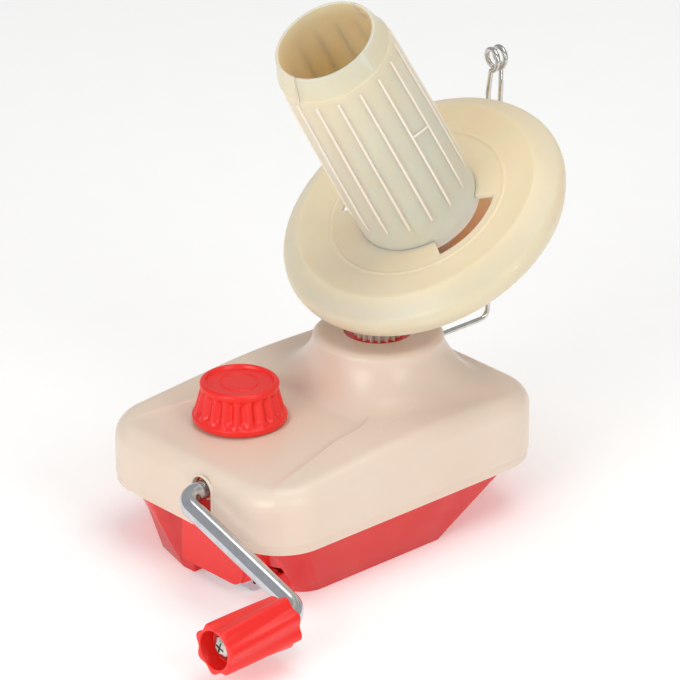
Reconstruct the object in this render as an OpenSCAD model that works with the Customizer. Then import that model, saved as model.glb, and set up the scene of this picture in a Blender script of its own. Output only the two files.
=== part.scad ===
// Hand-cranked yarn ball winder with a tilted, planet-geared yarn tube and a table clamp.
// Millimetres, +Z up, origin on the underside of the base. The crank end faces -Y.

/* [Cover] */
// Width of the top cover
cover_w = 113; // [108:1:122]
// Length of the top cover
cover_l = 153; // [148:1:162]
// Height of the cover's lower edge above the table
lip_z = 23; // [21:1:25]
// Height of the cover's shoulders above the table
shoulder_z = 55; // [53:1:58]
// Height of the sunk floor round the clamp knob
floor_z = 51; // [50:0.5:51.5]
// Plan radius of the cover's corners
corner_r = 23; // [18:1:26]
// Wall thickness of the cover
wall = 2.5; // [2:0.25:3]
// Height of the neck's rim
neck_z = 74; // [73:0.5:75]
// Outer radius of the neck
neck_r = 27; // [26:0.5:28]
// Distance of the neck behind the middle of the cover
neck_y = 30.5; // [30:0.5:32]

/* [Base] */
// Length of the flat underside
seat_l = 80; // [70:1:90]
// Width of the flat underside
seat_w = 98; // [94:1:102]
// Wall thickness of the base tub
base_wall = 2.4; // [2:0.2:3]

/* [Crank] */
// Sideways offset of the crank shaft from the middle
crank_x = 12; // [12:0.5:12.5]
// Height of the crank shaft
crank_z = 41; // [40.5:0.5:41.5]
// Diameter of the crank rod
rod_d = 8; // [7:0.5:8]
// Centre distance of the two crank bends
crank_arm = 76; // [70:1:82]
// Angle of the crank arm below level in the photographed pose
crank_angle = 18; // [0:1:40]
// Length of the handle grip
grip_l = 37; // [34:1:42]
// Largest diameter of the handle grip
grip_d = 22; // [20:1:26]

/* [Winding head] */
// Lean of the yarn tube from upright
tilt = 31; // [30:0.5:32]
// Height where the tilted axis crosses the upright one
ball_z = 161.4; // [160:0.2:163]
// Distance from that crossing to the rim plane of the dish
dish_drop = 48; // [47:0.5:49]
// Radius of the dish
dish_r = 62.5; // [60:0.5:65]
// Length of the yarn tube above the rim plane of the dish
tube_l = 105.5; // [96:0.5:112]
// Outer radius of the yarn tube at its foot
tube_r = 25.75; // [25.25:0.25:27]
// Outer radius of the yarn tube's mouth
mouth_r = 21.25; // [20.5:0.25:22]
// Wall thickness of the tube and the dish
tube_wall = 2; // [1.6:0.2:2.4]

/* [Gears] */
// Teeth on the crown wheel of the crank
crown_n = 42; // [42:1:42]
// Teeth on the pinion of the upright spindle
pinion_n = 12; // [12:1:12]
// Teeth on the fixed gear at the neck
sun_n = 18; // [18:1:18]
// Teeth on the gear of the yarn tube
tube_n = 62; // [62:1:62]
// Module of the crown wheel and its pinion
drive_m = 1; // [1:0.01:1.02]
// Diameter of the upright spindle
spindle_d = 6; // [5:0.5:6]

/* [Clamp] */
// Sideways place of the clamp knob
knob_x = -12; // [-14:1:-11]
// Place of the clamp knob along the cover
knob_y = -35; // [-38:1:-32]
// Largest radius of the clamp knob
knob_r = 19.6; // [18:0.2:20.4]
// Height of the clamp knob
knob_h = 17; // [15:0.5:18]
// Diameter of the clamp screw
screw_d = 8; // [7:0.5:8]
// Width of the steel jaw
jaw_w = 26; // [22:1:28]
// Thickness of the steel jaw
jaw_t = 3; // [2.5:0.5:3]

/* [Yarn guide] */
// Diameter of the guide wire
wire_d = 2.2; // [2:0.1:2.4]
// Sideways place of the guide wire
guide_x = -24; // [-26:1:-20]
// Distance of the upright wire behind the middle of the cover
guide_y = 116; // [115:0.5:117]
// Height where the guide wire enters the cover
guide_z = 46; // [44:0.5:46.5]
// Height of the middle of the yarn eye
eye_z = 164; // [160:1:170]
// Outside diameter of the yarn eye
eye_d = 11; // [10:0.5:14]

/* [Hidden] */
$fn = 64;

cream = [0.93, 0.85, 0.76];
red = [0.86, 0.15, 0.13];
steel = [0.76, 0.76, 0.8];
nylon = [0.9, 0.87, 0.78];

// Clearances
fit_gap = 0.3;
run_gap = 0.05;
end_gap = 0.3;

// Cover
edge_r = 8;
inner_edge_r = 3.5;
front_drop = 4.2;
rear_drop = 1;
front_lean = 3.5;
rear_lean = -2;
crest_y = 8;
band_z = lip_z + 4.2;
band_inset = 0.5;
hump_z = 51;
hump_y = neck_y + 2;
hump_w = 88;
hump_l = 71;
hump_steps = 8;
neck_top_z = neck_z + 1;
neck_floor_t = 1.5;
neck_floor_z = neck_top_z - neck_floor_t;
recess_slope = 2.2;
recess_y1 = -0.5;
recess_corner_r = 7;
pad_r = 10.5;
pad_z = floor_z + fit_gap;
slot_r = rod_d / 2 + 1.8;

// Base tub
rim_z = lip_z + 1;
rim_t = 2.4;
rim_top = rim_z + rim_t;
rim_w = cover_w - 2 * (wall + fit_gap);
rim_l = cover_l - 2 * (wall + fit_gap);
seat_y0 = 23 - seat_l;
seat_r = 12;
tub_y0 = -cover_l / 2 + 4.5;
tub_back = 26;
tub_y1 = neck_y + tub_back;
tub_w = cover_w - 6;
tub_r = 19;
tub_rear_r = 5;
nose_y = -cover_l / 2 + 2.9;
nose_floor_z = 5.5;
plate_x = 3.6;
tongue_y = -cover_l / 2 + 3.1;
tongue_t = 2;
tongue_w = 16;
tongue_top = floor_z - wall - 1.9;
tongue_bevel = 2.3;
case_points = [[-42, -46], [42, -46], [-41, 14], [41, 14]];
case_joint_z = 8;
case_screw_r = 1.6;
frame_screw_r = 1.6;

// Gear frame
plate_t = 5;
foot_z = 20;
foot_t = 2.4;
foot_x0 = -22;
foot_x1 = 35;
front_plate_y = neck_y - 14;
rear_plate_y = neck_y + 13;
frame_points = [for (x = [-18, 31], y = [front_plate_y - 2.5, rear_plate_y - 2.5]) [x, y]];
top_plate_z = neck_floor_z - fit_gap;
top_plate_t = 2.2;
top_disc_r = 16;
gear_hole_r = 14.2;

// Crown wheel and pinion
pressure = 20;
rod_r = rod_d / 2;
spindle_r = spindle_d / 2;
crown_r = crown_n * drive_m / 2;
pinion_r = pinion_n * drive_m / 2;
crown_face = 4;
crown_addendum = 0.8 * drive_m;
crown_root = 1.1 * drive_m;
crown_play = 0.5;
crown_disc_t = 4;
crown_pitch_y = neck_y - pinion_r;
crown_tip_y = crown_pitch_y + crown_addendum;
crown_y1 = crown_pitch_y - crown_root;
crown_y0 = crown_y1 - crown_disc_t;
crown_half = PI * drive_m / 4 - crown_play / 2;
crown_sunk = 0.4;
crown_half_root = crown_half + (crown_root + crown_sunk) * tan(pressure);
crown_half_tip = crown_half - crown_addendum * tan(pressure);
crown_rim_r = norm([crown_r + crown_face / 2, crank_x]) - 0.3;
crown_hub_r = 8;
pinion_z0 = crank_z + crown_r - crown_face / 2 - 0.5;
pinion_z1 = pinion_z0 + crown_face + 1;
shelf_z1 = pinion_z0 - 2;
shelf_t = 4;
shelf_y0 = crown_tip_y + 0.5;
foot_bush_r = 4;
neck_bush_r = 5;
shaft_bush_r = 6;
front_bush_r = 5;

// Crank
bend_r = 8;
bend_y = -cover_l / 2 - 10.5;
grip_y1 = bend_y - bend_r - 1;
grip_y0 = grip_y1 - grip_l;
grip_recess = 7;
grip_recess_r = 8;
rod_end_y = grip_y0 + grip_recess - 0.2;
clip_y = rear_plate_y + 0.9;
clip_t = 1;
shaft_end_y = clip_y + 3;

// Bevel gears of the head, whose cones meet where the two axes cross
sun_cone = atan2(sin(tilt), tube_n / sun_n + cos(tilt));
tube_cone = tilt - sun_cone;
cone_near = 71;
cone_far = 77;
bevel_m = 2 * cone_far * sin(sun_cone) / sun_n;
sun_z0 = ball_z - cone_far * cos(sun_cone);
sun_z1 = ball_z - cone_near * cos(sun_cone);
gear_s0 = cone_near * cos(tube_cone);
gear_s1 = cone_far * cos(tube_cone);
bevel_play = 0.3;
// How far one solid runs into the next where the two are fused
seam = 0.01;

// Winding head, where s is a distance below the crossing of the axes
hub_gap = 1.2;
hub_z0 = sun_z1 + hub_gap;
hub_h = 8;
hub_z1 = hub_z0 + hub_h;
hub_r = 10.5;
axle_r = 3;
ring_s0 = dish_drop + 2;
ring_s1 = gear_s0 - 4.5;
ring_r = 9;
ring_bush_r = 4.5;
dish_hub_r = 11;
dish_hub_s = ring_s0 - 0.5 - end_gap;
axle_s0 = dish_drop - 4;
axle_s1 = gear_s1 + 1.8;

// Tube and dish, as heights above the rim plane of the dish
dish_floor_h = 6.2;
dish_ring_r = 38.5;
dish_ring_h = dish_floor_h + 0.7;
dish_shoulder_r = dish_r - 10;
dish_shoulder_h = 8.1;
skirt_h = 7.8;
skirt_r = dish_r - 2.8;
window_r0 = tube_r + 1.2;
window_r1 = tube_r + 8.8;
window_angle = 61;
collar_h = tube_l - 9;
rib_n = 16;
rib_w = 1.1;
rib_out = 0.5;
rib_h0 = dish_floor_h + 9;
rib_h1 = collar_h - 3.5;
slit_w = 1;
slit_l = 11;
slit_turn = 6.5;

// Clamp
screw_r = screw_d / 2;
jaw_x = 20;
jaw_z0 = 0.3;
jaw_arm_z = 33;
jaw_y0 = -cover_l / 2 + 5.7;
jaw_y1 = -38;
jaw_bend_r = 1.5;
nut_h = 6;
nut_r = 7.5;
screw_foot_z = 3.2;
screw_boss_h = 7;
washer_r = 9;
washer_z0 = pad_z + run_gap;
washer_t = 1;
knob_z0 = floor_z + 0.6;
knob_band = 2.6;
flute_n = 20;
flute_depth = 1;
screw_top_z = knob_z0 + 9;

// Yarn guide
wire_r = wire_d / 2;
guide_bend_r = 4;
guide_in_y = cover_l / 2 - 10;
eye_r = (eye_d - wire_d) / 2;
eye_pitch = 4.4;
eye_back = 3.2;
eye_turns = 2;
eye_step = 15;
free_end_z = 76;

// General shapes
module along_y(y0, y1) {
    translate([0, y0, 0]) rotate([-90, 0, 0]) linear_extrude(y1 - y0) children();
}

module plate_xz(y0, y1, points) {
    translate([0, y1, 0]) rotate([90, 0, 0]) linear_extrude(y1 - y0) polygon(points);
}

module at_neck(z) {
    translate([0, neck_y, z]) children();
}

// Puts a shape on the tilted axis, s below the point where the axes cross
module on_tilt(s) {
    translate([0, neck_y, ball_z]) rotate([tilt, 0, 0]) translate([0, 0, -s]) children();
}

module tube(r_out, r_in, h) {
    difference() {
        cylinder(r = r_out, h = h);
        translate([0, 0, -1]) cylinder(r = r_in, h = h + 2);
    }
}

module rounded_plan(w, l, r) {
    offset(r = r) square([w - 2 * r, l - 2 * r], center = true);
}

// Closed body through a stack of rings that have the same number of points
module loft(rings) {
    n = len(rings[0]);
    m = len(rings);
    side = [for (k = [0:m - 2], i = [0:n - 1])
        [k * n + i, (k + 1) * n + i, (k + 1) * n + (i + 1) % n, k * n + (i + 1) % n]];
    bottom = [for (i = [0:n - 1]) i];
    top = [for (i = [n - 1:-1:0]) (m - 1) * n + i];
    polyhedron([for (ring = rings, p = ring) p], concat([bottom], side, [top]), convexity = 6);
}

// Gear teeth: the flanks are involutes, taken on the back cone of a bevel gear, with a tooth at 0
function inv(a) = tan(a) * 180 / PI - a;

function half_tooth(n, r, rho, play) =
    90 / n - play * 90 / (PI * r) + inv(pressure) - inv(acos(min(1, r * cos(pressure) / rho)));

function gear_points(n, m, cone, add, ded, play) =
    let (r = n * m / 2, c = cos(cone), levels = [-ded, -ded / 3, add / 3, add])
    [for (k = [0:n - 1], j = [0:7])
        let (side = j < 4 ? -1 : 1,
             d = levels[j < 4 ? j : 7 - j],
             a = 360 * k / n + side * half_tooth(n / c, r / c, r / c + d, play) / c)
        (r + d / c) * [cos(a), sin(a)]];

module bevel_outline(n, cone) {
    polygon(gear_points(n, bevel_m, cone, 0.85 * bevel_m, 1.15 * bevel_m, bevel_play));
}

module bevel_teeth(n, cone) {
    translate([0, 0, -cone_far * cos(cone)])
        linear_extrude((cone_far - cone_near) * cos(cone), scale = cone_near / cone_far)
            bevel_outline(n, cone);
}

// Top cover
module edge_disc(x, y, z, lean, r, edge) {
    arc = [for (a = [0:22.5:90]) [r - edge + edge * cos(a), edge * (sin(a) - 1)]];
    translate([x, y, z]) rotate([lean, 0, 0]) rotate_extrude($fn = 32)
        polygon(concat([[0, 0], [0, -edge]], arc));
}

module cover_body(inset) {
    x = cover_w / 2 - corner_r;
    y = cover_l / 2 - corner_r;
    r = corner_r - inset;
    edge = inset > 1 ? inner_edge_r : edge_r - inset;
    hull() {
        translate([0, 0, lip_z - inset]) linear_extrude(5)
            rounded_plan(cover_w - 2 * inset, cover_l - 2 * inset, r);
        for (s = [-x, x]) {
            edge_disc(s, -y, shoulder_z - front_drop - inset, front_lean, r, edge);
            edge_disc(s, crest_y, shoulder_z + 0.4 - inset, 0, r, edge);
            edge_disc(s, y, shoulder_z - rear_drop - inset, rear_lean, r, edge);
        }
    }
}

// The hump blends from a rounded box above the shoulders into the round neck
function hump_fade(z) = pow((neck_z - z) / (neck_z - hump_z), 2);

function hump_ring(z, inset) =
    let (f = hump_fade(z),
         p = 2 + 2 * f,
         hx = neck_r + (hump_w / 2 - neck_r) * f - inset,
         hy = neck_r + (hump_l / 2 - neck_r) * f - inset,
         y = neck_y + (hump_y - neck_y) * f)
    [for (i = [0:47])
        let (a = 7.5 * i,
             q = pow(abs(cos(a)) / hx, p) + pow(abs(sin(a)) / hy, p),
             r = 1 / pow(q, 1 / p))
        [r * cos(a), y + r * sin(a), z]];

module hump(inset, z1) {
    z0 = hump_z - 2 - inset;
    loft([for (k = [0:hump_steps]) hump_ring(z0 + (z1 - z0) * k / hump_steps, inset)]);
}

module neck_lip() {
    at_neck(neck_z - 1) rotate_extrude()
        polygon([[0, 0], [neck_r, 0], [neck_r - 0.5, 0.9], [neck_r - 1.7, 1.6], [neck_r - 4, 2], [0, 2]]);
}

module recess_plan(grow) {
    side = [[46, -74], [33, -21], [33, -7], [28, recess_y1]];
    offset(delta = grow) offset(r = recess_corner_r) offset(delta = -recess_corner_r)
        polygon(concat([[50, -90]], side, [for (i = [3:-1:0]) [-side[i].x, side[i].y]], [[-50, -90]]));
}

module recess(grow) {
    translate([0, knob_y, floor_z - grow]) rotate([recess_slope, 0, 0]) translate([0, -knob_y, 0])
        linear_extrude(20) recess_plan(grow);
}

module cover_posts(z0, z1, r) {
    for (p = case_points) translate([p.x, p.y, z0]) cylinder(r = r, h = z1 - z0);
}

module top_cover() {
    color(cream) difference() {
        union() {
            difference() {
                union() {
                    difference() {
                        cover_body(0);
                        recess(0);
                        translate([knob_x, knob_y, floor_z]) cylinder(r = knob_r + 1, h = 5);
                    }
                    hump(0, neck_z - 1);
                    neck_lip();
                }
                difference() {
                    cover_body(wall);
                    recess(wall);
                }
                hump(wall, neck_floor_z);
                difference() {
                    translate([0, 0, lip_z - 1]) linear_extrude(band_z - lip_z + 1)
                        square(2 * cover_l, center = true);
                    translate([0, 0, lip_z - 2]) linear_extrude(band_z - lip_z + 3)
                        rounded_plan(cover_w - 2 * band_inset, cover_l - 2 * band_inset, corner_r);
                }
            }
            cover_posts(case_joint_z, rim_top + 10, 4);
            intersection() {
                cover_posts(rim_top + 9, shoulder_z, 4);
                cover_body(1);
            }
            translate([knob_x, knob_y, floor_z - 2]) cylinder(r = pad_r, h = pad_z - floor_z + 2);
        }
        cover_posts(case_joint_z - 1, case_joint_z + 16, case_screw_r);
        translate([knob_x, knob_y, floor_z - 10]) cylinder(r = screw_r + 0.4, h = 20);
        at_neck(neck_floor_z - 1) cylinder(r = gear_hole_r, h = 10);
        translate([crank_x, 0, crank_z]) along_y(-cover_l / 2 - 1, -cover_l / 2 + wall + 2) {
            circle(slot_r);
            translate([-slot_r, 0]) square([2 * slot_r, crank_z - lip_z + 1]);
        }
        translate([guide_x, 0, guide_z]) along_y(cover_l / 2 - wall - 1, cover_l / 2 + 1) circle(3);
    }
}

// Base tub
module tub_slice(z, w, y0, y1, r, inset) {
    rear_r = tub_rear_r - inset;
    translate([0, 0, z]) linear_extrude(0.01) for (s = [-1, 1]) {
        translate([s * (w / 2 - r), y0 + r]) circle(r);
        translate([s * (w / 2 - rear_r), y1 - rear_r]) circle(rear_r);
    }
}

module tub_body(inset, z0, z1) {
    hull() {
        tub_slice(z0, seat_w - 2 * inset, seat_y0 + inset, seat_y0 + seat_l - inset, seat_r - inset, inset);
        tub_slice(z1, tub_w - 2 * inset, tub_y0 + inset, tub_y1 - inset, tub_r - inset, inset);
    }
}

// The nose under the crank houses the clamp jaw; its left cheek leans out towards the top
module nose_slice(z, cheek_x, cheek_y, inset) {
    translate([0, 0, z]) linear_extrude(0.01) offset(delta = -inset) polygon([
        [cheek_x - 5, seat_y0 + 6], [cheek_x - 5, seat_y0], [cheek_x, cheek_y], [-3, nose_y],
        [35, nose_y], [38, nose_y + 4], [38, seat_y0 + 6]]);
}

module nose(inset, z0, z1) {
    hull() {
        nose_slice(z0, -22, nose_y + 8, inset);
        nose_slice(z1, -38, nose_y + 3, inset);
    }
}

module base_tub() {
    x0 = jaw_x - jaw_w / 2 - 0.8;
    x1 = jaw_x + jaw_w / 2 + 0.8;
    pocket_y1 = jaw_y1 + 0.8;
    pocket_l = pocket_y1 - seat_y0;
    color(red) difference() {
        union() {
            difference() {
                union() {
                    tub_body(0, 0, rim_z);
                    difference() {
                        nose(0, 0, rim_z);
                        translate([plate_x, nose_y - 1, -1])
                            cube([60, seat_y0 - nose_y + 1, nose_floor_z + 1]);
                    }
                    translate([0, 0, rim_z]) linear_extrude(rim_t)
                        rounded_plan(rim_w, rim_l, corner_r - wall);
                }
                tub_body(base_wall, base_wall, rim_top + 0.1);
                difference() {
                    nose(base_wall, base_wall, rim_top + 0.1);
                    translate([plate_x - base_wall, nose_y - 1, 0])
                        cube([60, seat_y0 - nose_y + 1, nose_floor_z + base_wall]);
                }
            }
            translate([x0 - base_wall, seat_y0 - 1, 0])
                cube([x1 - x0 + 2 * base_wall, pocket_l + base_wall + 1, nose_floor_z + base_wall]);
            translate([crank_x - tongue_w / 2, 0, 0]) rotate([90, 0, 90]) linear_extrude(tongue_w) polygon([
                [tongue_y, rim_z], [tongue_y, tongue_top - tongue_bevel], [tongue_y + 1.5, tongue_top],
                [tongue_y + tongue_t, tongue_top], [tongue_y + tongue_t, rim_z]]);
            translate([knob_x, knob_y, 0]) cylinder(r = 7, h = screw_boss_h);
            for (p = case_points) translate([p.x, p.y, 0]) cylinder(r = 5.5, h = case_joint_z);
            intersection() {
                tub_body(1, 1, rim_z);
                for (p = frame_points) translate([p.x, p.y, 0]) cylinder(r = 4, h = foot_z);
            }
        }
        translate([x0, nose_y - 1, -1]) cube([x1 - x0, pocket_y1 - nose_y + 1, nose_floor_z + 1]);
        translate([x0, nose_y + base_wall, -1])
            cube([x1 - x0, jaw_y0 + jaw_t + 3 - nose_y - base_wall, nose_floor_z + base_wall + 2]);
        translate([knob_x, knob_y, screw_foot_z - 0.2]) cylinder(r = screw_r + run_gap, h = screw_boss_h);
        translate([crank_x, 0, crank_z]) along_y(tongue_y - 1, tongue_y + tongue_t + 1) circle(front_bush_r);
        for (p = case_points) translate([p.x, p.y, -1]) {
            cylinder(r = 4, h = 5);
            cylinder(r = case_screw_r + 0.1, h = case_joint_z + 2);
        }
        for (p = frame_points) translate([p.x, p.y, foot_z - 5]) cylinder(r = frame_screw_r, h = 6);
    }
}

module case_screws() {
    color(steel) for (p = case_points) translate([p.x, p.y, 0]) difference() {
        union() {
            translate([0, 0, 1.4]) cylinder(r = 3.4, h = 2.6);
            translate([0, 0, 3]) cylinder(r = case_screw_r, h = 18);
        }
        translate([0, 0, 0.4]) cylinder(r = 1.5, h = 2, $fn = 6);
    }
}

// Gear frame
module gear_frame() {
    leg = [[-12, foot_z], [25, foot_z], [23, crank_z + 9], [13, top_plate_z - 4], [13, top_plate_z],
           [-13, top_plate_z], [-13, top_plate_z - 4]];
    color(red) difference() {
        union() {
            translate([foot_x0, front_plate_y - plate_t - 3, foot_z])
                cube([foot_x1 - foot_x0, rear_plate_y - front_plate_y + plate_t + 4.5, foot_t]);
            plate_xz(front_plate_y - plate_t, front_plate_y, leg);
            plate_xz(rear_plate_y - plate_t, rear_plate_y, leg);
            translate([-13, front_plate_y - plate_t, top_plate_z - top_plate_t])
                cube([26, rear_plate_y - front_plate_y + plate_t, top_plate_t]);
            translate([-8, shelf_y0, shelf_z1 - shelf_t]) cube([16, rear_plate_y - shelf_y0 - 1, shelf_t]);
            at_neck(top_plate_z - top_plate_t) cylinder(r = top_disc_r, h = top_plate_t);
        }
        translate([crank_x, 0, crank_z]) along_y(front_plate_y - plate_t - 1, rear_plate_y + 1)
            circle(shaft_bush_r);
        translate([crank_x - 19.5, crown_y0 - 2.4, foot_z - 1])
            cube([39, crown_disc_t + crown_root + crown_addendum + 3.4, foot_t + 2]);
        at_neck(shelf_z1 - shelf_t - 1) cylinder(r = foot_bush_r, h = shelf_t + 2);
        at_neck(top_plate_z - top_plate_t - 1) cylinder(r = neck_bush_r, h = 12);
        for (p = frame_points) translate([p.x, p.y, foot_z - 1]) cylinder(r = frame_screw_r, h = foot_t + 2);
    }
}

module frame_screws() {
    color(steel) for (p = frame_points) translate([p.x, p.y, foot_z]) difference() {
        union() {
            translate([0, 0, foot_t]) cylinder(r = 3, h = 2);
            translate([0, 0, -4.5]) cylinder(r = frame_screw_r, h = foot_t + 5);
        }
        translate([0, 0, foot_t + 1]) cylinder(r = 1.4, h = 2, $fn = 6);
    }
}

// Fixed gear with long teeth, bevelled only where the gear of the tube rolls on them
module sun_gear() {
    color(nylon) difference() {
        union() {
            at_neck(ball_z) rotate(90 + 180 / sun_n) bevel_teeth(sun_n, sun_cone);
            at_neck(top_plate_z) rotate(90 + 180 / sun_n) linear_extrude(sun_z0 - top_plate_z + seam)
                bevel_outline(sun_n, sun_cone);
        }
        at_neck(top_plate_z - 1) cylinder(r = neck_bush_r, h = sun_z1 - top_plate_z + 2);
    }
}

module spindle_foot_bush() {
    color(nylon) at_neck(shelf_z1 - shelf_t)
        tube(foot_bush_r, spindle_r + run_gap, pinion_z0 - end_gap - shelf_z1 + shelf_t);
}

module spindle_neck_bush() {
    color(nylon) at_neck(top_plate_z - top_plate_t)
        tube(neck_bush_r, spindle_r + run_gap, hub_z0 - end_gap - top_plate_z + top_plate_t);
}

module crank_bushes() {
    color(nylon) translate([crank_x, 0, crank_z]) {
        along_y(tongue_y - 0.4, tongue_y + tongue_t) difference() {
            circle(front_bush_r);
            circle(rod_r + run_gap);
        }
        for (y = [front_plate_y, rear_plate_y]) along_y(y - plate_t, y + 0.5) difference() {
            circle(shaft_bush_r);
            circle(rod_r + run_gap);
        }
    }
}

module guide_socket() {
    color(cream) translate([guide_x, 0, guide_z]) difference() {
        union() {
            along_y(cover_l / 2 - wall - 4, cover_l / 2 + 2) circle(3);
            along_y(cover_l / 2, cover_l / 2 + 1.4) circle(4);
        }
        along_y(cover_l / 2 - wall - 5, cover_l / 2 + 3) circle(wire_r + run_gap);
    }
}

// Crank
module in_crank_plane() {
    translate([crank_x, 0, crank_z]) rotate([0, crank_angle, 0]) children();
}

module crank_rod() {
    color(steel) in_crank_plane() difference() {
        union() {
            along_y(bend_y + bend_r, shaft_end_y) circle(rod_r);
            translate([bend_r, bend_y + bend_r, 0]) rotate(180) rotate_extrude(angle = 90)
                translate([bend_r, 0]) circle(rod_r);
            translate([bend_r, bend_y, 0]) rotate([0, 90, 0])
                cylinder(r = rod_r, h = crank_arm - 2 * bend_r);
            translate([crank_arm - bend_r, bend_y - bend_r, 0]) rotate_extrude(angle = 90)
                translate([bend_r, 0]) circle(rod_r);
            translate([crank_arm, 0, 0]) along_y(rod_end_y, bend_y - bend_r) circle(rod_r);
        }
        along_y(clip_y, clip_y + clip_t) difference() {
            circle(rod_r + 1);
            circle(rod_r - 0.6);
        }
        translate([crank_arm, 0, 0]) along_y(rod_end_y - 1, rod_end_y + 10) circle(1.6);
    }
}

module crank_clip() {
    color(steel) translate([crank_x, 0, crank_z]) along_y(clip_y, clip_y + clip_t) difference() {
        circle(rod_r + 2.4);
        circle(rod_r - 0.6);
        translate([-1.5, -rod_r - 3]) square([3, rod_r + 3]);
    }
}

module crown_tooth() {
    translate([-crank_x, 0, crown_r - crown_face / 2]) linear_extrude(crown_face + 2) polygon([
        [-crown_half_root, crown_y1 - crown_sunk], [crown_half_root, crown_y1 - crown_sunk],
        [crown_half_tip, crown_tip_y], [-crown_half_tip, crown_tip_y]]);
}

module crown_wheel() {
    color(cream) translate([crank_x, 0, crank_z]) difference() {
        union() {
            intersection() {
                union() {
                    along_y(crown_y0, crown_y1) circle(crown_rim_r + 1);
                    for (i = [0:crown_n - 1]) rotate([0, 360 * i / crown_n, 0]) crown_tooth();
                }
                along_y(crown_y0 - 1, crown_tip_y + 1) circle(crown_rim_r);
            }
            along_y(crown_y0 - 1.8, crown_y1) circle(crown_hub_r);
        }
        along_y(crown_y0 - 3, crown_y1 + 1) circle(rod_r);
        for (i = [0:5]) rotate([0, 60 * i, 0]) translate([14, 0, 0])
            along_y(crown_y0 - 1, crown_y1 + 1) circle(4, $fn = 32);
        along_y(crown_y0 - 1, crown_y0 + 1.6) difference() {
            circle(crown_rim_r - 2.5);
            circle(crown_hub_r + 1);
        }
    }
}

module handle_grip() {
    lobes = 7;
    color(red) in_crank_plane() translate([crank_arm, grip_y0, 0]) rotate([-90, 0, 0]) difference() {
        linear_extrude(grip_l, twist = 24, slices = 8) polygon([for (i = [0:lobes * 6 - 1])
            let (a = 60 * i / lobes, r = grip_d / 2 - 0.9 * (1 - cos(lobes * a))) r * [cos(a), sin(a)]]);
        translate([0, 0, -1]) cylinder(r = rod_r + run_gap, h = grip_l + 2);
        translate([0, 0, -1]) cylinder(r = grip_recess_r, h = grip_recess + 1);
    }
}

module grip_screw() {
    color(steel) in_crank_plane() translate([crank_arm, rod_end_y, 0]) rotate([90, 0, 0]) difference() {
        union() {
            cylinder(r = 6.4, h = 0.8);
            rotate_extrude() polygon([[0, 0.8], [5, 0.8], [5, 1.8], [4.2, 3], [2.5, 3.6], [0, 3.8]]);
            translate([0, 0, -9]) cylinder(r = 1.6, h = 10);
        }
        for (a = [0, 90]) rotate(a) translate([-2.4, -0.5, 2.4]) cube([4.8, 1, 3]);
    }
}

// Upright spindle and tilted carrier
module spindle() {
    color(steel) difference() {
        at_neck(shelf_z1 - shelf_t - 1.5) cylinder(r = spindle_r, h = hub_z1 - shelf_z1 + shelf_t + 1.5);
        at_neck(hub_z1 - 10) cylinder(r = 1.5, h = 11);
    }
}

module spindle_pinion() {
    color(nylon) at_neck(pinion_z0) difference() {
        linear_extrude(pinion_z1 - pinion_z0) rotate(180 / pinion_n)
            polygon(gear_points(pinion_n, drive_m, 0, crown_addendum, 1.25 * drive_m, 0.15));
        translate([0, 0, -1]) cylinder(r = spindle_r, h = 10);
    }
}

module carrier() {
    color(red) difference() {
        union() {
            hull() {
                at_neck(hub_z0 + 1) cylinder(r = hub_r - 1.5, h = hub_h - 2, $fn = 32);
                on_tilt(ring_s1 - 1) cylinder(r = ring_r - 1.5, h = ring_s1 - ring_s0 - 2, $fn = 32);
            }
            at_neck(hub_z0) cylinder(r = hub_r, h = hub_h);
            on_tilt(ring_s1) cylinder(r = ring_r, h = ring_s1 - ring_s0);
        }
        at_neck(hub_z0 - 1) cylinder(r = spindle_r, h = hub_h + 2);
        at_neck(hub_z1) cylinder(r = 6, h = 8);
        on_tilt(ring_s1 + 1) cylinder(r = ring_bush_r, h = ring_s1 - ring_s0 + 2);
    }
}

module carrier_screw() {
    color(steel) at_neck(hub_z1) difference() {
        union() {
            cylinder(r = 5, h = 2.4);
            translate([0, 0, -9]) cylinder(r = 1.5, h = 10);
        }
        translate([0, 0, 1.2]) cylinder(r = 2, h = 2, $fn = 6);
    }
}

module carrier_bush() {
    color(nylon) on_tilt(ring_s1 + 0.5) tube(ring_bush_r, axle_r + run_gap, ring_s1 - ring_s0 + 1);
}

// Yarn tube and flange dish
module yarn_tube() {
    foot_t = 2.5;
    outer = [[tube_r, dish_floor_h], [tube_r - 0.3, tube_l / 2], [tube_r - 1.2, collar_h - 0.6],
             [tube_r - 1.7, collar_h], [mouth_r + 0.6, tube_l - 0.8], [mouth_r, tube_l]];
    color(cream) on_tilt(dish_drop) difference() {
        union() {
            rotate_extrude() polygon(concat([[8, dish_floor_h]], outer, [
                [mouth_r - 1, tube_l], [mouth_r - tube_wall, tube_l - 0.8],
                [tube_r - 1.7 - tube_wall, collar_h - 1], [tube_r - 0.3 - tube_wall, tube_l / 2],
                [tube_r - tube_wall, dish_floor_h + foot_t], [8, dish_floor_h + foot_t]]));
            for (i = [0:rib_n - 1]) rotate(360 * i / rib_n) translate([tube_r, 0, rib_h0])
                rotate([0, -0.85, 0]) translate([-1, -rib_w / 2, 0])
                    cube([1 + rib_out, rib_w, rib_h1 - rib_h0]);
        }
        for (a = [0, 180]) rotate(a + slit_turn) translate([-slit_w / 2, -mouth_r - 4, tube_l - slit_l])
            cube([slit_w, 8, slit_l + 1]);
    }
}

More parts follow.
